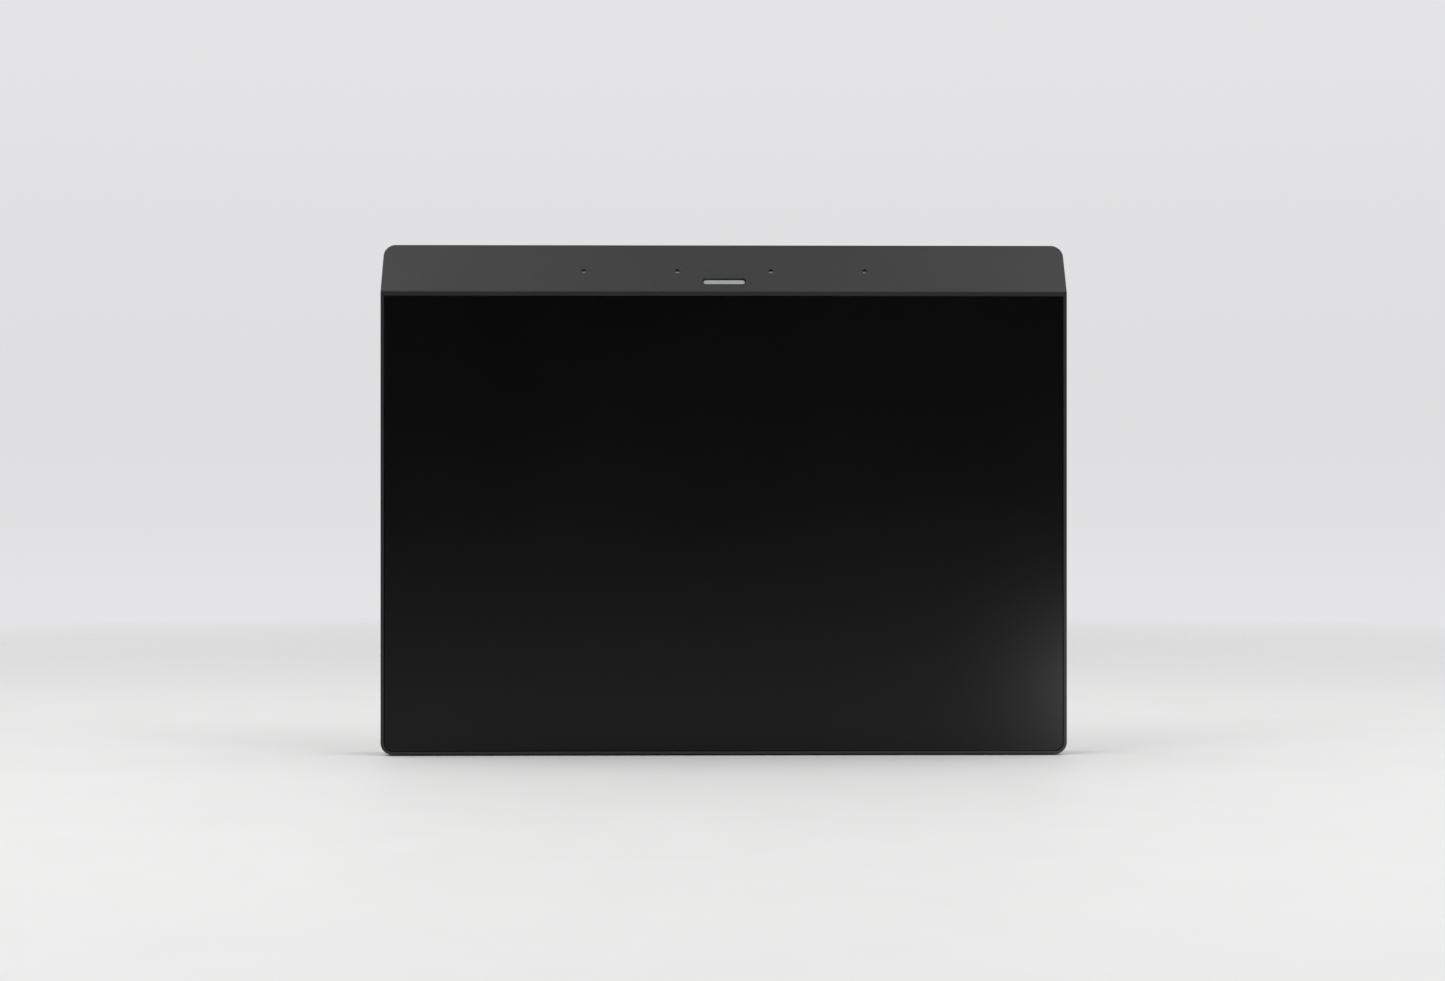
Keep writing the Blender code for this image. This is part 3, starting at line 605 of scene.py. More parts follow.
@once
def woven_mesh():
    """Pale steel cloth of very fine crossed wires."""
    finish = Finish("woven dust mesh", (0.4, 0.4, 0.4), 0.5, 0.3)
    weave = []
    for direction in ("X", "Z"):
        wires = finish.tree.nodes.new("ShaderNodeTexWave")
        wires.bands_direction = direction
        wires.inputs["Scale"].default_value = 2600
        finish.link(finish.coords, wires.inputs["Vector"])
        weave.append(wires.outputs["Fac"])
    cloth = finish.times(*weave)
    finish.blend(cloth, (0.5, 0.5, 0.5), (0.95, 0.95, 0.95))
    finish.bump(cloth, 0.02 * MM, 0.5)
    return finish


@once
def anodised():
    """Bead-blasted aluminium, anodised dark."""
    stand = bpy.context.scene.display_stand
    finish = Finish("anodised stand", stand.colour, 0.42, 0.55)
    finish.vary_colour(finish.noise(2600, 2), 0.12)
    finish.vary_roughness(finish.noise(900, 2), 0.1)
    finish.bump(finish.noise(5200, 2), 0.012 * MM, 0.4)
    return finish


@once
def brushed_metal(name, colour, roughness):
    """Rolled metal with fine lines along its length."""
    finish = Finish(name, colour, roughness, 1.0)
    lines = finish.noise(1500, 3, (0.06, 1.0, 1.0))
    finish.vary_colour(lines, 0.1)
    finish.vary_roughness(lines, 0.2)
    finish.bump(lines, 0.006 * MM, 0.4)
    return finish


def steel():
    return brushed_metal("brushed steel", (0.56, 0.56, 0.57), 0.32)


def dark_steel():
    return brushed_metal("blackened steel", (0.11, 0.11, 0.115), 0.38)


@once
def cast_metal():
    finish = Finish("cast magnesium", (0.38, 0.38, 0.39), 0.5, 1.0)
    finish.vary_colour(finish.noise(700, 4), 0.15)
    finish.bump(finish.noise(1800, 3), 0.02 * MM, 0.5)
    return finish


@once
def painted_grille():
    finish = Finish("painted grille", (0.03, 0.03, 0.031), 0.5, 0.3)
    finish.vary_colour(finish.noise(1800, 2), 0.12)
    finish.bump(finish.noise(4200, 2), 0.01 * MM, 0.4)
    return finish


@once
def soft_rubber():
    finish = Finish("soft rubber", (0.022, 0.022, 0.022), 0.82, 0.0, 0.3)
    finish.vary_colour(finish.noise(1100, 3), 0.2)
    finish.vary_roughness(finish.noise(220, 2), 0.08)
    finish.bump(finish.noise(2400, 3), 0.02 * MM, 0.5)
    return finish


@once
def foam():
    finish = Finish("closed-cell foam", (0.018, 0.018, 0.018), 0.95, 0.0, 0.2)
    cells = finish.tree.nodes.new("ShaderNodeTexVoronoi")
    cells.inputs["Scale"].default_value = 2600
    finish.link(finish.coords, cells.inputs["Vector"])
    finish.vary_colour(cells.outputs["Distance"], 0.4)
    finish.bump(cells.outputs["Distance"], 0.05 * MM, 0.6)
    return finish


@once
def tinted(name, colour, roughness, grain, amount):
    """A plain moulded or printed finish with its own grain size and colour variation."""
    finish = Finish(name, colour, roughness)
    finish.vary_colour(finish.noise(grain, 3), amount)
    finish.vary_roughness(finish.noise(grain / 12, 2), 0.1)
    finish.bump(finish.noise(grain * 2, 2), 0.01 * MM, 0.3)
    return finish


@once
def solder_mask():
    """Green board with faint copper tracks under its lacquer."""
    finish = Finish("solder mask", (0.018, 0.085, 0.04), 0.36)
    tracks = finish.tree.nodes.new("ShaderNodeTexBrick")
    tracks.inputs["Scale"].default_value = 160
    tracks.inputs["Mortar Size"].default_value = 0.06
    tracks.inputs["Color1"].default_value = (0.2, 0.2, 0.2, 1)
    tracks.inputs["Color2"].default_value = (0.45, 0.45, 0.45, 1)
    tracks.inputs["Mortar"].default_value = (0.9, 0.9, 0.9, 1)
    finish.link(finish.coords, tracks.inputs["Vector"])
    finish.blend(tracks.outputs["Color"], (0.012, 0.06, 0.028), (0.05, 0.15, 0.07))
    finish.vary_roughness(finish.noise(300, 2), 0.12)
    finish.bump(tracks.outputs["Fac"], 0.02 * MM, 0.3)
    return finish


@once
def amber_film():
    """Flexible cable: amber film over even copper lines."""
    finish = Finish("amber film", (0.45, 0.17, 0.03), 0.34)
    lines = finish.tree.nodes.new("ShaderNodeTexWave")
    lines.wave_type = "BANDS"
    lines.bands_direction = "X"
    lines.inputs["Scale"].default_value = 260
    finish.link(finish.coords, lines.inputs["Vector"])
    finish.blend(lines.outputs["Fac"], (0.3, 0.1, 0.02), (0.55, 0.24, 0.06))
    finish.bump(lines.outputs["Fac"], 0.02 * MM, 0.4)
    return finish


@once
def gold():
    finish = Finish("gold plating", (0.8, 0.58, 0.25), 0.28, 1.0)
    finish.vary_colour(finish.noise(900, 2), 0.08)
    return finish


# ---- pieces of the front


def say(operator, text):
    operator.report({"INFO"}, text)
    return {"FINISHED"}


class SMARTDISPLAY_OT_front_shell(Operator):
    """Front shell with its rim, sloping brow, microphone holes and light slot"""

    bl_idname = "smart_display.front_shell"
    bl_label = "Front shell"

    def execute(self, context):
        shell = context.scene.display_shell
        low, high = FRONT
        hair = 0.03 * MM

        def on_rim(point):
            return abs(outline_distance(point, low, high, shell.corner_radius)) < hair

        def outer(point):
            on_fold = abs(point.z - FOLD_Z) < hair and abs(point.y - FRONT_Y) < hair
            return on_fold or (on_rim(point) and point.y < high.y - hair)

        def parting_edge(point):
            return on_rim(point) and point.y > high.y - hair

        def opening(point):
            inwards = (BROW.inverted() @ point).y
            on_face = abs(point.y - FRONT_Y) < hair or abs(inwards) < hair
            return on_face and not outer(point)

        microphones = [middle_of(f"microphone_{n}").x for n in ONE_TO_FOUR]

        def round_microphone(point):
            nearest = min(abs(point.x - x) for x in microphones)
            return opening(point) and point.z > FOLD_Z + hair and nearest < 0.8 * MM

        bm = solid_of("front_housing")
        soften(bm, shell.edge_width, outer)
        soften(bm, 0.1 * MM, parting_edge, segments=2)
        soften(bm, shell.microphone_dish, round_microphone, segments=1, least_angle=50)
        soften(bm, shell.hole_edge_width, opening, segments=2, least_angle=50)
        piece("front_shell", bm, moulded_plastic(), CHASSIS, ["front_housing"])
        return say(self, "Front shell made")


class SMARTDISPLAY_OT_cover_glass(Operator):
    """Etched cover glass with a ground edge"""

    bl_idname = "smart_display.cover_glass"
    bl_label = "Cover glass"

    def execute(self, context):
        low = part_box("cover_glass")[0]
        chamfer = context.scene.display_glass.chamfer

        def front_edge(point):
            return abs(point.y - low.y) < HAIR

        bm = soften(solid_of("cover_glass"), chamfer, front_edge, segments=2)
        piece("etched_cover_glass", bm, etched_glass(), CHASSIS, ["cover_glass"])
        return say(self, "Cover glass made")


class SMARTDISPLAY_OT_microphone_meshes(Operator):
    """Pale dust meshes set just inside the four microphone holes"""

    bl_idname = "smart_display.microphone_meshes"
    bl_label = "Microphone meshes"

    def execute(self, context):
        glass = context.scene.display_glass
        radius, depth = glass.mesh_radius, glass.mesh_depth
        thick, ring = 0.12 * MM, 0.1 * MM
        profile = (
            (radius - ring, -0.4 * thick),
            (radius - 0.7 * ring, 0),
            (radius - 0.2 * ring, 0),
            (radius, -0.2 * thick),
            (radius, -thick),
        )
        outwards = Matrix.Rotation(math.pi / 2, 4, "X")
        for number in ONE_TO_FOUR:
            inside = BROW.inverted() @ middle_of(f"microphone_{number}")
            place = BROW @ Matrix.Translation((inside.x, depth, inside.z)) @ outwards
            bm = turned(bmesh.new(), profile, place, 28)
            piece(f"microphone_mesh_{number}", bm, woven_mesh())
        return say(self, "Microphone meshes made")


class SMARTDISPLAY_OT_status_light(Operator):
    """Opal bar of the status light, sunk a little into the brow"""

    bl_idname = "smart_display.status_light"
    bl_label = "Status light"

    def execute(self, context):
        into_brow = BROW.inverted()
        sink = context.scene.display_glass.lens_sink
        inwards = BROW.to_3x3().col[1]
        near = 0.05 * MM
        node = "status_light_lens"
        bm = solid_of(node)
        face = min((into_brow @ vert.co).y for vert in bm.verts)

        def on_face(point):
            return abs((into_brow @ point).y - face) < near

        for vert in [vert for vert in bm.verts if on_face(vert.co)]:
            vert.co += inwards * sink
        face += sink
        soften(bm, 0.25 * MM, on_face, segments=4)
        piece("status_light_bar", bm, opal_lens(), CHASSIS, [node])
        return say(self, "Status light made")


# ---- pieces of the back


class SMARTDISPLAY_OT_rear_cover(Operator):
    """Rear cover with its pocket, vents, grille rebates and dished button strip"""

    bl_idname = "smart_display.rear_cover"
    bl_label = "Rear cover"

    def execute(self, context):
        shell = context.scene.display_shell
        low, high = BACK
        seam = FRONT[1].y + 0.5 * MM
        seam_width, opening_width = 0.2 * MM, 0.16 * MM

        def parting_edge(point):
            from_rim = outline_distance(point, low, high, shell.corner_radius)
            return abs(from_rim) < 0.05 * MM and point.y < seam

        def opening(point):
            return abs(point.y - BACK_Y) < 0.02 * MM

        bm = solid_of("rear_cover")
        soften(bm, seam_width, parting_edge, segments=2)
        soften(bm, opening_width, opening, segments=2, least_angle=50)
        piece("rear_shell", bm, moulded_plastic(), CHASSIS, ["rear_cover"])
        return say(self, "Rear cover made")


class SMARTDISPLAY_OT_grilles(Operator):
    """Speaker grilles of thin perforated sheet"""

    bl_idname = "smart_display.grilles"
    bl_label = "Speaker grilles"

    def execute(self, context):
        back = context.scene.display_back
        for side, _ in SIDES:
            node = f"speaker_grille_{side}"
            low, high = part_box(node)
            corner = 4 * MM
            outline = rounded_outline((low.x, low.z), (high.x, high.z), corner, 12)
            plate = prism(bmesh.new(), outline, low.y, high.y)
            soften(plate, 0.12 * MM, lambda p, back_y=high.y: abs(p.y - back_y) < HAIR)
            bm = carved(plate, self.holes(low, high, back))
            name = f"perforated_grille_{side}"
            piece(name, bm, painted_grille(), CHASSIS, [node])
        return say(self, "Speaker grilles made")

    def holes(self, low, high, back):
        """Staggered rows of holes, kept inside a rounded margin."""
        margin, pitch = 4.2 * MM, back.hole_pitch
        rise = pitch * math.sqrt(3) / 2
        centre = (low + high) / 2
        reach_x = (high.x - low.x) / 2 - margin
        reach_z = (high.z - low.z) / 2 - margin
        holes = bmesh.new()
        rows = int(reach_z / rise)
        for row in range(-rows, rows + 1):
            shift = pitch / 2 if row % 2 else 0
            columns = int((reach_x - shift) / pitch)
            first = -columns - 1 if shift else -columns
            for column in range(first, columns + 1):
                across = centre.x + column * pitch + shift
                up = centre.z + row * rise
                outline = circle_outline(across, up, back.hole_radius, 12)
                prism(holes, outline, low.y - MM, high.y + MM)
        return holes


class SMARTDISPLAY_OT_controls(Operator):
    """Power and volume buttons, mute slider and the printed symbols beside them"""

    bl_idname = "smart_display.controls"
    bl_label = "Buttons and symbols"

    def execute(self, context):
        for name in ("power_button", "volume_up_button", "volume_down_button"):
            self.button(name)
        self.slider()
        self.symbols()
        return say(self, "Buttons and symbols made")

    def button(self, name):
        """The cap with a shallow dish pressed into its face."""
        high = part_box(name)[1]
        centre = middle_of(name)
        radius, depth = 14 * MM, 0.12 * MM
        place = Matrix.Translation((centre.x, high.y - depth + radius, centre.z))
        ball = bmesh.new()
        bmesh.ops.create_uvsphere(ball, u_segments=48, v_segments=96, radius=radius, matrix=place)
        bm = carved(solid_of(name), ball)
        piece(f"{name}_cap", bm, moulded_plastic(), name, [name])

    def slider(self):
        """The mute slider with three grip grooves across its face."""
        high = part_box("mute_slider")[1]
        centre = middle_of("mute_slider")
        pitch, width, reach, depth = 0.9 * MM, 0.35 * MM, 4 * MM, 0.2 * MM
        grooves = bmesh.new()
        for step in (-1, 0, 1):
            outline = bar_outline(centre.x + step * pitch, centre.z, width, reach)
            prism(grooves, outline, high.y - depth, high.y + MM)
        bm = carved(solid_of("mute_slider"), grooves)
        finish = tinted("mute slider", (0.5, 0.1, 0.035), 0.5, 1500, 0.06)
        piece("mute_slider_knob", bm, finish, "mute_slider", ["mute_slider"])

    def symbols(self):
        """Power, plus, minus and crossed microphone, printed beside each control."""
        colour = tuple(bpy.context.scene.display_back.symbol_colour)
        ink = tinted("printed symbols", colour, 0.6, 1200, 0.06)
        across = middle_of("power_button").x - 9.5 * MM
        self.button_symbols(across, ink)
        self.mute_symbol(across, ink)

    def print_on(self, target, outline, spare=0.0):
        """Adds an outline to target as a layer of ink, thicker by spare on both sides."""
        bottom, top = BACK_Y + 0.003 * MM, BACK_Y + 0.015 * MM
        prism(target, outline, bottom - spare, top + spare)

    def button_symbols(self, across, ink):
        line, reach, gap = 0.32 * MM, 1.1 * MM, 0.01 * MM
        marks = bmesh.new()
        up = middle_of("power_button").z
        self.print_on(marks, arc_outline(across, up, reach, reach + line, 125, 415, 24))
        self.print_on(marks, bar_outline(across, up + reach, line, 1.5 * MM))
        for name in ("volume_up_button", "volume_down_button"):
            up = middle_of(name).z
            self.print_on(marks, bar_outline(across, up, 2 * reach, line))
            if name == "volume_up_button":
                arm = reach - line / 2
                for side in (-1, 1):
                    offset = side * (line / 2 + arm / 2 + gap)
                    self.print_on(marks, bar_outline(across, up + offset, line, arm))
        piece("printed_symbols", marks, ink)

    def mute_symbol(self, across, ink):
        """A microphone on its stem in a cradle, crossed by a bar with a clear margin."""
        up = middle_of("mute_switch_body").z
        half_head, line = 0.45 * MM, 0.26 * MM
        foot, crown = up - 0.2 * MM, up + 1.5 * MM
        cradle_up, cradle = up + 0.2 * MM, 0.8 * MM
        bar_up, bar, turn = up + 0.3 * MM, 3.4 * MM, 125
        head, stem, margin, microphone = (bmesh.new() for _ in range(4))
        low, high = (across - half_head, foot), (across + half_head, crown)
        self.print_on(head, rounded_outline(low, high, 0.98 * half_head, 6))
        outline = arc_outline(across, cradle_up, cradle, cradle + line, 180, 360)
        self.print_on(microphone, outline)
        self.print_on(stem, bar_outline(across, up - 1.1 * MM, line, 0.6 * MM))
        self.print_on(margin, bar_outline(across, bar_up, 4 * MM, 3 * line, turn), MM)
        microphone = carved(microphone, stem, "UNION")
        microphone = carved(microphone, head, "UNION")
        microphone = carved(microphone, margin)
        self.print_on(microphone, bar_outline(across, bar_up, bar, line, turn))
        piece("printed_mute_symbol", microphone, ink)


class SMARTDISPLAY_OT_ports(Operator):
    """USB-C receptacles with gilt contacts on their tongues"""

    bl_idname = "smart_display.ports"
    bl_label = "Ports"

    def execute(self, context):
        for number in (1, 2):
            node = f"usb_c_port_{number}"
            bm = solid_of(node)
            port = piece(f"usb_c_shell_{number}", bm, steel(), CHASSIS, [node])
            self.blacken_tongue(port.data, middle_of(node))
            self.contacts(number, middle_of(node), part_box(node)[1].x)
        return say(self, "Ports made")

    def blacken_tongue(self, mesh, centre):
        """Gives the tongue in the middle of the port its own black resin."""
        mesh.materials.append(tinted("port resin", (0.012, 0.012, 0.012), 0.45, 1800, 0.15))
        half_thick, half_wide = 0.5 * MM, 3.6 * MM
        for face in mesh.polygons:
            offset = face.center - centre
            if abs(offset.y) < half_thick and abs(offset.z) < half_wide:
                face.material_index = 1

    def contacts(self, number, centre, mouth):
        """Rows of contacts on both faces of the tongue, back from the port's mouth."""
        proud, half_tongue = 0.03 * MM, 0.35 * MM
        count, pitch, width = 12, 0.5 * MM, 0.26 * MM
        inner, outer = mouth - 4.6 * MM, mouth - 1.2 * MM
        pads = bmesh.new()
        for side in (-1, 1):
            face = centre.y + side * half_tongue
            for step in range(count):
                up = centre.z + (step - (count - 1) / 2) * pitch
                outline = bar_outline(face + side * proud, up, proud, width)
                prism(pads, outline, inner, outer, along_x)
        piece(f"usb_c_contacts_{number}", pads, gold())


class SMARTDISPLAY_OT_feet(Operator):
    """Rubber feet with grooves along their undersides"""

    bl_idname = "smart_display.feet"
    bl_label = "Feet"

    def execute(self, context):
        count = context.scene.display_stand.tread_count
        for node in ("bottom_foot_front", "bottom_foot_rear"):
            low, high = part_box(node)
            bm = soften(solid_of(node), 0.1 * MM, lambda p: p.z < HAIR, segments=2)
            treads = bmesh.new()
            spacing = (high.y - low.y) / (count + 1)
            width, height, end_margin = min(0.5 * MM, spacing * 0.3), 0.3 * MM, 3 * MM
            for number in range(count):
                across = low.y + spacing * (number + 1)
                outline = bar_outline(across, low.z, width, height)
                prism(treads, outline, low.x + end_margin, high.x - end_margin, along_x)
            bm = carved(bm, treads)
            piece(f"{node}_strip", bm, soft_rubber(), CHASSIS, [node])
        return say(self, "Feet made")


# ---- stand and fasteners


class SMARTDISPLAY_OT_stand(Operator):
    """Folding stand with its rubber edge"""

    bl_idname = "smart_display.stand"
    bl_label = "Stand"

    def execute(self, context):
        width = context.scene.display_stand.edge_width
        hinge_z = JOINTS["kickstand_hinge"]["pos_m"][2]
        barrel = 2.6 * MM

        def plate_edge(point):
            return point.z < hinge_z - barrel

        bm = soften(solid_of("kickstand"), width, plate_edge, least_angle=50)
        piece("stand_plate", bm, anodised(), "kickstand", ["kickstand"])
        self.rubber_edge()
        return say(self, "Stand made")

    def rubber_edge(self):
        """The strip along the stand's free edge, with three grooves."""
        node = "kickstand_foot"
        low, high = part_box(node)
        pitch, width, height, end_margin = 0.5 * MM, 0.18 * MM, 0.3 * MM, 2 * MM
        treads = bmesh.new()
        for step in (-1, 0, 1):
            across = (low.y + high.y) / 2 + step * pitch
            outline = bar_outline(across, low.z, width, height)
            prism(treads, outline, low.x + end_margin, high.x - end_margin, along_x)
        bm = carved(solid_of(node), treads)
        piece("stand_rubber_edge", bm, soft_rubber(), "kickstand", [node])


class SMARTDISPLAY_OT_hinges(Operator):
    """Steel hinge brackets and pins"""

    bl_idname = "smart_display.hinges"
    bl_label = "Hinges"

    def execute(self, context):
        width = 0.06 * MM
        leaf_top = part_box("hinge_screw_1")[0].z + 8 * MM

        def leaf_edge(point):
            return point.z < leaf_top

        for side, _ in SIDES:
            node = f"hinge_bracket_{side}"
            bm = soften(solid_of(node), width, leaf_edge, segments=2, least_angle=50)
            piece(f"hinge_leaf_{side}", bm, steel(), CHASSIS, [node])
            self.pin(side)
        return say(self, "Hinges made")

    def pin(self, side):
        """A pin with chamfered ends."""
        node = f"hinge_pin_{side}"
        low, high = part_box(node)
        centre = (low + high) / 2
        radius, half, chamfer = (high.z - low.z) / 2, (high.x - low.x) / 2, 0.2 * MM
        profile = (
            (radius - chamfer, half),
            (radius, half - chamfer),
            (radius, chamfer - half),
            (radius - chamfer, -half),
        )
        place = Matrix.Translation(centre) @ Matrix.Rotation(math.pi / 2, 4, "Y")
        bm = turned(bmesh.new(), profile, place, 28)
        piece(f"{node}_turned", bm, steel(), CHASSIS, [node])


class SMARTDISPLAY_OT_screws(Operator):
    """Cover and hinge screws with rounded heads and cross recesses"""

    bl_idname = "smart_display.screws"
    bl_label = "Screws"

    def execute(self, context):
        for kind in ("cover", "hinge"):
            for number in ONE_TO_FOUR:
                self.screw(f"{kind}_screw_{number}")
        return say(self, "Screws made")

    def screw(self, node):
        """A screw with a rounded head, a pointed shank and a cross recess."""
        low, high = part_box(node)
        centre = (low + high) / 2
        tip = low.y - high.y
        head = (high.x - low.x) / 2
        shank, point_length = 0.9 * MM, 0.3 * MM
        rise = 0.7 * MM if node.startswith("cover") else 0.2 * MM
        soft = min(0.12 * MM, rise / 2)
        profile = (
            (head - 2 * soft, 0),
            (head - soft / 2, -soft / 2),
            (head, -soft * 1.5),
            (head, -rise),
            (shank, -rise),
            (shank, tip + point_length),
            (shank * 0.6, tip),
        )
        outwards = Matrix.Rotation(-math.pi / 2, 4, "X")
        place = Matrix.Translation((centre.x, high.y, centre.z)) @ outwards
        bm = turned(bmesh.new(), profile, place)
        reach, half_width, turn = 1.1 * MM, 0.21 * MM, 40
        recess = cross_outline(centre.x, centre.z, reach, half_width, turn)
        cross = prism(bmesh.new(), recess, high.y - 0.6 * rise, high.y + MM)
        bm = carved(bm, cross)
        piece(f"{node}_turned", bm, dark_steel(), CHASSIS, [node])


class SMARTDISPLAY_OT_insides(Operator):
    """Finishes of the parts inside the slab"""

    bl_idname = "smart_display.insides"
    bl_label = "Insides"

    def execute(self, context):
        board, metal = solder_mask(), steel()
        finishes = {
            "glass_gasket": foam(),
            "microphone_gasket": foam(),
            "touch_sensor": tinted("touch film", (0.5, 0.52, 0.53), 0.2, 400, 0.03),
            "lcd_panel": tinted("display panel", (0.01, 0.01, 0.012), 0.25, 300, 0.1),
            "backlight_module": tinted("white diffuser", (0.72, 0.72, 0.7), 0.45, 500, 0.03),
            "mid_frame": cast_metal(),
            "status_led_bar": tinted("lamp resin", (0.8, 0.76, 0.55), 0.4, 1200, 0.05),
            "processor_shield": metal,
            "heat_spreader": brushed_metal("bare aluminium", (0.66, 0.66, 0.67), 0.38),
            "wifi_module": tinted("chip resin", (0.03, 0.03, 0.032), 0.45, 1500, 0.15),
            "display_flex": amber_film(),
            "sensor_flex": amber_film(),
            "mute_switch_body": metal,
        }
        for node in ("sensor_board", "main_board", "button_board"):
            finishes[node] = board
        for number in ONE_TO_FOUR:
            finishes[f"microphone_{number}"] = gold()
        for name in ("power", "volume_up", "volume_down"):
            finishes[f"{name}_switch"] = metal
        for side, _ in SIDES:
            finishes[f"antenna_{side}"] = board
            box = tinted("speaker box plastic", (0.02, 0.02, 0.021), 0.5, 1300, 0.15)
            finishes[f"speaker_box_{side}"] = box
            cone = tinted("speaker cone", (0.05, 0.05, 0.055), 0.7, 900, 0.2)
            finishes[f"speaker_driver_{side}"] = cone
            lead = tinted("lead insulation", (0.35, 0.02, 0.02), 0.45, 800, 0.1)
            finishes[f"speaker_lead_{side}"] = lead
        for node, finish in finishes.items():
            for slot in NODES[node].material_slots:
                slot.material = finish
        return say(self, "Insides finished")


# ---- stage


class SMARTDISPLAY_OT_stage(Operator):
    """Pale floor, soft studio light and the camera"""

    bl_idname = "smart_display.stage"
    bl_label = "Stage"

    def execute(self, context):
        stage = context.scene.display_stage
        self.floor(stage)
        self.world(stage)
        self.lights(stage)
        self.low_card(stage)
        self.camera(context.scene, stage)
        context.scene.view_settings.view_transform = "Standard"
        return say(self, "Stage set")

    def floor(self, stage):
        """A wide disc that fades out far from the slab, so that it has no edge."""
        radius, fade_start, fade_end = 1.2, 0.35, 1.05
        bm = bmesh.new()
        bmesh.ops.create_circle(bm, cap_ends=True, segments=96, radius=radius)
        finish = Finish("studio floor", stage.floor_colour, 0.6, 0.0, 0.25)
        finish.vary_colour(finish.noise(30, 3), 0.008)
        finish.vary_roughness(finish.noise(50, 2), 0.05)
        length = finish.tree.nodes.new("ShaderNodeVectorMath")
        length.operation = "LENGTH"
        finish.link(finish.coords, length.inputs[0])
        away = length.outputs["Value"]
        fade = ranged_value(finish.tree, away, fade_start, fade_end, 1.0, 0.0)
        finish.link(fade, finish.shader.inputs["Alpha"])
        mesh = mesh_of("studio_floor", bm)
        mesh.materials.append(finish.material)
        floor = bpy.data.objects.new("studio_floor", mesh)
        floor.location.z = CAD_BOX[0].z - 0.05 * MM
        bpy.context.scene.collection.objects.link(floor)

    def world(self, stage):
        """Seen directly it is a pale backdrop with painted shade; as light it is dim, and dark in
        front.
        """
        world = bpy.data.worlds.new("studio")
        world.use_nodes = True
        tree = world.node_tree
        tree.nodes.clear()
        add, link = tree.nodes.new, tree.links.new
        output = add("ShaderNodeOutputWorld")
        backdrop = add("ShaderNodeBackground")
        glow = add("ShaderNodeBackground")
        coords = add("ShaderNodeTexCoord")
        split = add("ShaderNodeSeparateXYZ")
        link(coords.outputs["Generated"], split.inputs["Vector"])
        rise = ranged_value(tree, split.outputs["Z"], -0.2, 0.2, 0.0, 1.0)
        shade = self.painted_backdrop_shade(tree, stage.backdrop_colour)
        link(rise, shade.inputs["Fac"])
        link(shade.outputs["Color"], backdrop.inputs["Color"])
        strength = ranged_value(tree, split.outputs["Y"], -0.1, 0.6, 0.02, 0.8)
        link(strength, glow.inputs["Strength"])
        path = add("ShaderNodeLightPath")
        mix = add("ShaderNodeMixShader")
        link(path.outputs["Is Camera Ray"], mix.inputs["Fac"])
        link(glow.outputs["Background"], mix.inputs[1])
        link(backdrop.outputs["Background"], mix.inputs[2])
        link(mix.outputs["Shader"], output.inputs["Surface"])
        bpy.context.scene.world = world

    def painted_backdrop_shade(self, tree, colour):
        """The backdrop's colour from below the horizon upwards: painted light and shade of a lit
        wall, lightest below the horizon, darkest just above it and a little lighter again higher
        up.
        """
        # painted shade: these levels darken the backdrop just above the horizon and lighten it
        # low down, as bounce light from a floor would
        shades = ((0.22, 1.0), (0.58, 0.9), (0.98, 0.95))
        ramp = tree.nodes.new("ShaderNodeValToRGB")
        ramp.color_ramp.interpolation = "EASE"
        stops = ramp.color_ramp.elements
        stops.new(shades[1][0])
        for stop, (position, level) in zip(stops, shades):
            stop.position = position
            stop.color = (*[level * c for c in colour], 1)
        return ramp

    def lamp(self, name, size, power, place, target):
        """An area light of a given width and depth, turned towards a target."""
        data = bpy.data.lights.new(name, "AREA")
        data.shape = "RECTANGLE"
        data.size, data.size_y = size
        data.energy = power
        lamp = bpy.data.objects.new(name, data)
        lamp.location = place
        aim = Vector(target) - lamp.location
        lamp.rotation_euler = aim.to_track_quat("-Z", "Y").to_euler()
        bpy.context.scene.collection.objects.link(lamp)
        return lamp

    def lights(self, stage):
        """Two wide soft boxes overhead, one on each side and both a little to the right."""
        size, middle = (1.2, 1.2), (0, 0, 0.09)
        apart, shift, forward, height = 0.75, 0.03, -0.2, 1.1
        for name, side in SIDES:
            place = (side * apart + shift, forward, height)
            self.lamp(f"soft_box_{name}", size, stage.key_power, place, middle)

    def low_card(self, stage):
        """A small card low at the front right, flagged so that it lights only the front."""
        size, place, corner = (0.08, 0.016), (0.19, -0.18, 0.009), (0.11, 0, 0.01)
        lamp = self.lamp("low_card", size, stage.card_power, place, corner)
        lamp.visible_camera = False
        lit = bpy.data.collections.new("lit_by_low_card")
        lit.objects.link(bpy.data.objects["etched_cover_glass"])
        lit.objects.link(bpy.data.objects["front_shell"])
        lamp.light_linking.receiver_collection = lit

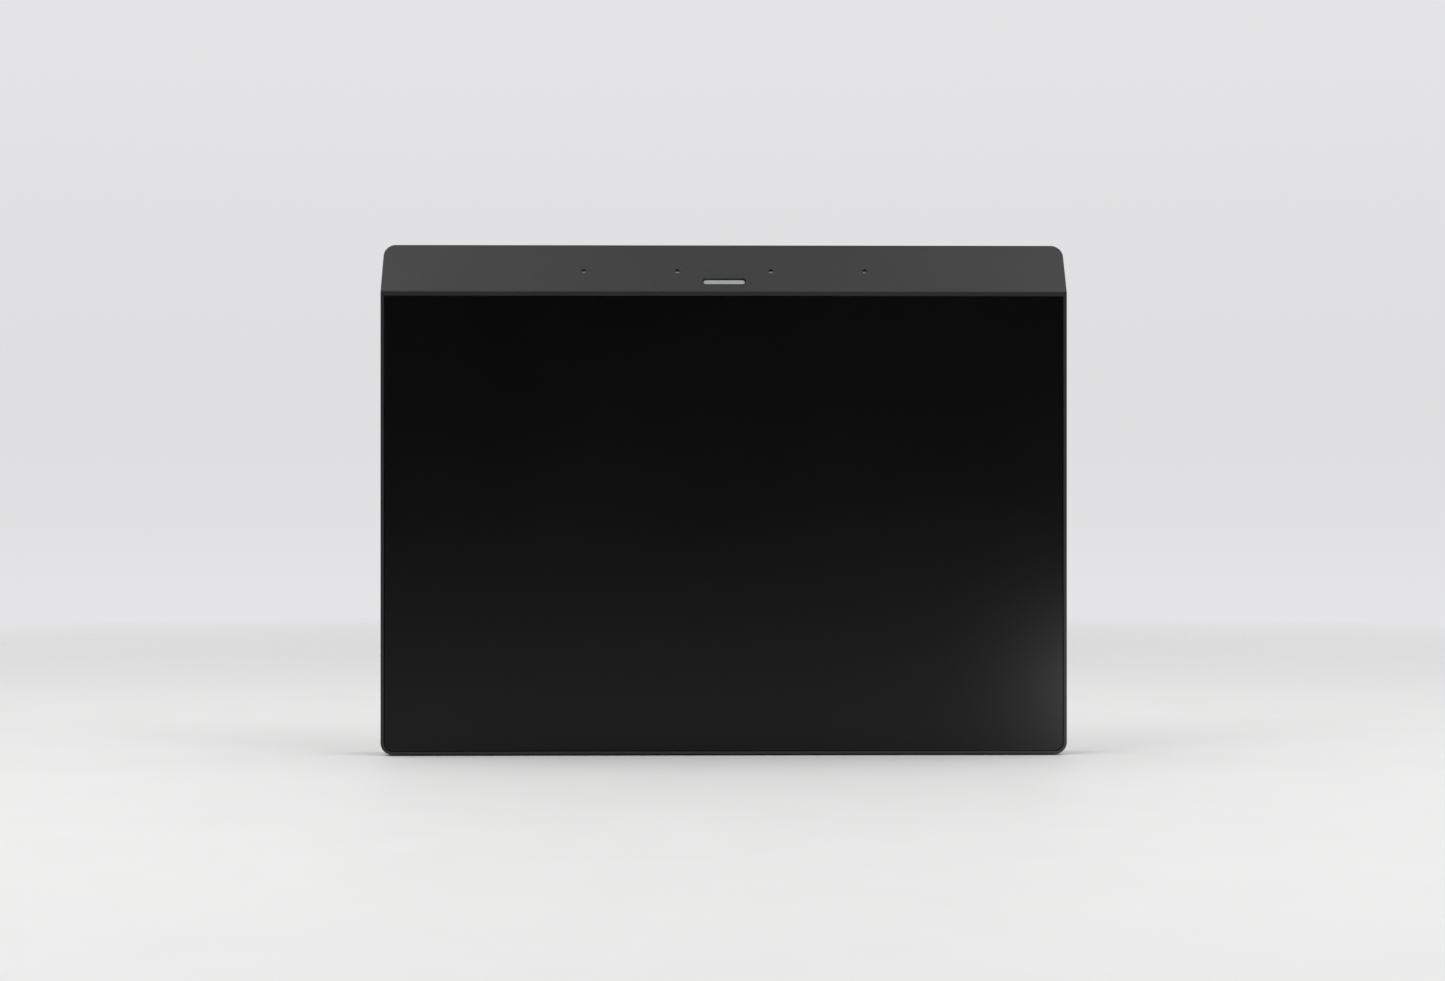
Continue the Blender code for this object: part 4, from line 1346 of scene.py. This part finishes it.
    def camera(self, scene, stage):
        data = bpy.data.cameras.new("camera")
        data.lens = stage.focal_length
        data.sensor_width = 36
        data.clip_start, data.clip_end = 0.01, 50
        camera = bpy.data.objects.new("camera", data)
        camera.location = (stage.camera_side, -stage.camera_distance, stage.camera_height)
        camera.rotation_euler = (math.pi / 2, 0, stage.camera_yaw)
        scene.collection.objects.link(camera)
        scene.camera = camera


# ---- panel and start


MAKERS = (
    SMARTDISPLAY_OT_front_shell,
    SMARTDISPLAY_OT_cover_glass,
    SMARTDISPLAY_OT_microphone_meshes,
    SMARTDISPLAY_OT_status_light,
    SMARTDISPLAY_OT_rear_cover,
    SMARTDISPLAY_OT_grilles,
    SMARTDISPLAY_OT_controls,
    SMARTDISPLAY_OT_ports,
    SMARTDISPLAY_OT_feet,
    SMARTDISPLAY_OT_stand,
    SMARTDISPLAY_OT_hinges,
    SMARTDISPLAY_OT_screws,
    SMARTDISPLAY_OT_insides,
    SMARTDISPLAY_OT_stage,
)
GROUPS = {
    "display_shell": ShellSettings,
    "display_glass": GlassSettings,
    "display_back": BackSettings,
    "display_stand": StandSettings,
    "display_stage": StageSettings,
}


class VIEW3D_PT_smart_display(Panel):
    """Settings and steps of the smart display"""

    bl_idname = "VIEW3D_PT_smart_display"
    bl_label = "Smart display"
    bl_space_type = "VIEW_3D"
    bl_region_type = "UI"
    bl_category = "Display"

    def draw(self, context):
        for group in GROUPS:
            box = self.layout.box()
            holder = getattr(context.scene, group)
            for name in holder.bl_rna.properties.keys():
                if name not in ("rna_type", "name"):
                    box.prop(holder, name)
        for maker in MAKERS:
            self.layout.operator(maker.bl_idname)


CLASSES = (*GROUPS.values(), *MAKERS, VIEW3D_PT_smart_display)


def register():
    for cls in CLASSES:
        bpy.utils.register_class(cls)
    for name, group in GROUPS.items():
        setattr(bpy.types.Scene, name, PointerProperty(type=group))


def unregister():
    for name in GROUPS:
        delattr(bpy.types.Scene, name)
    for cls in reversed(CLASSES):
        bpy.utils.unregister_class(cls)


def main():
    register()
    for maker in MAKERS:
        family, step = maker.bl_idname.split(".")
        getattr(getattr(bpy.ops, family), step)()


if __name__ == "__main__":
    main()
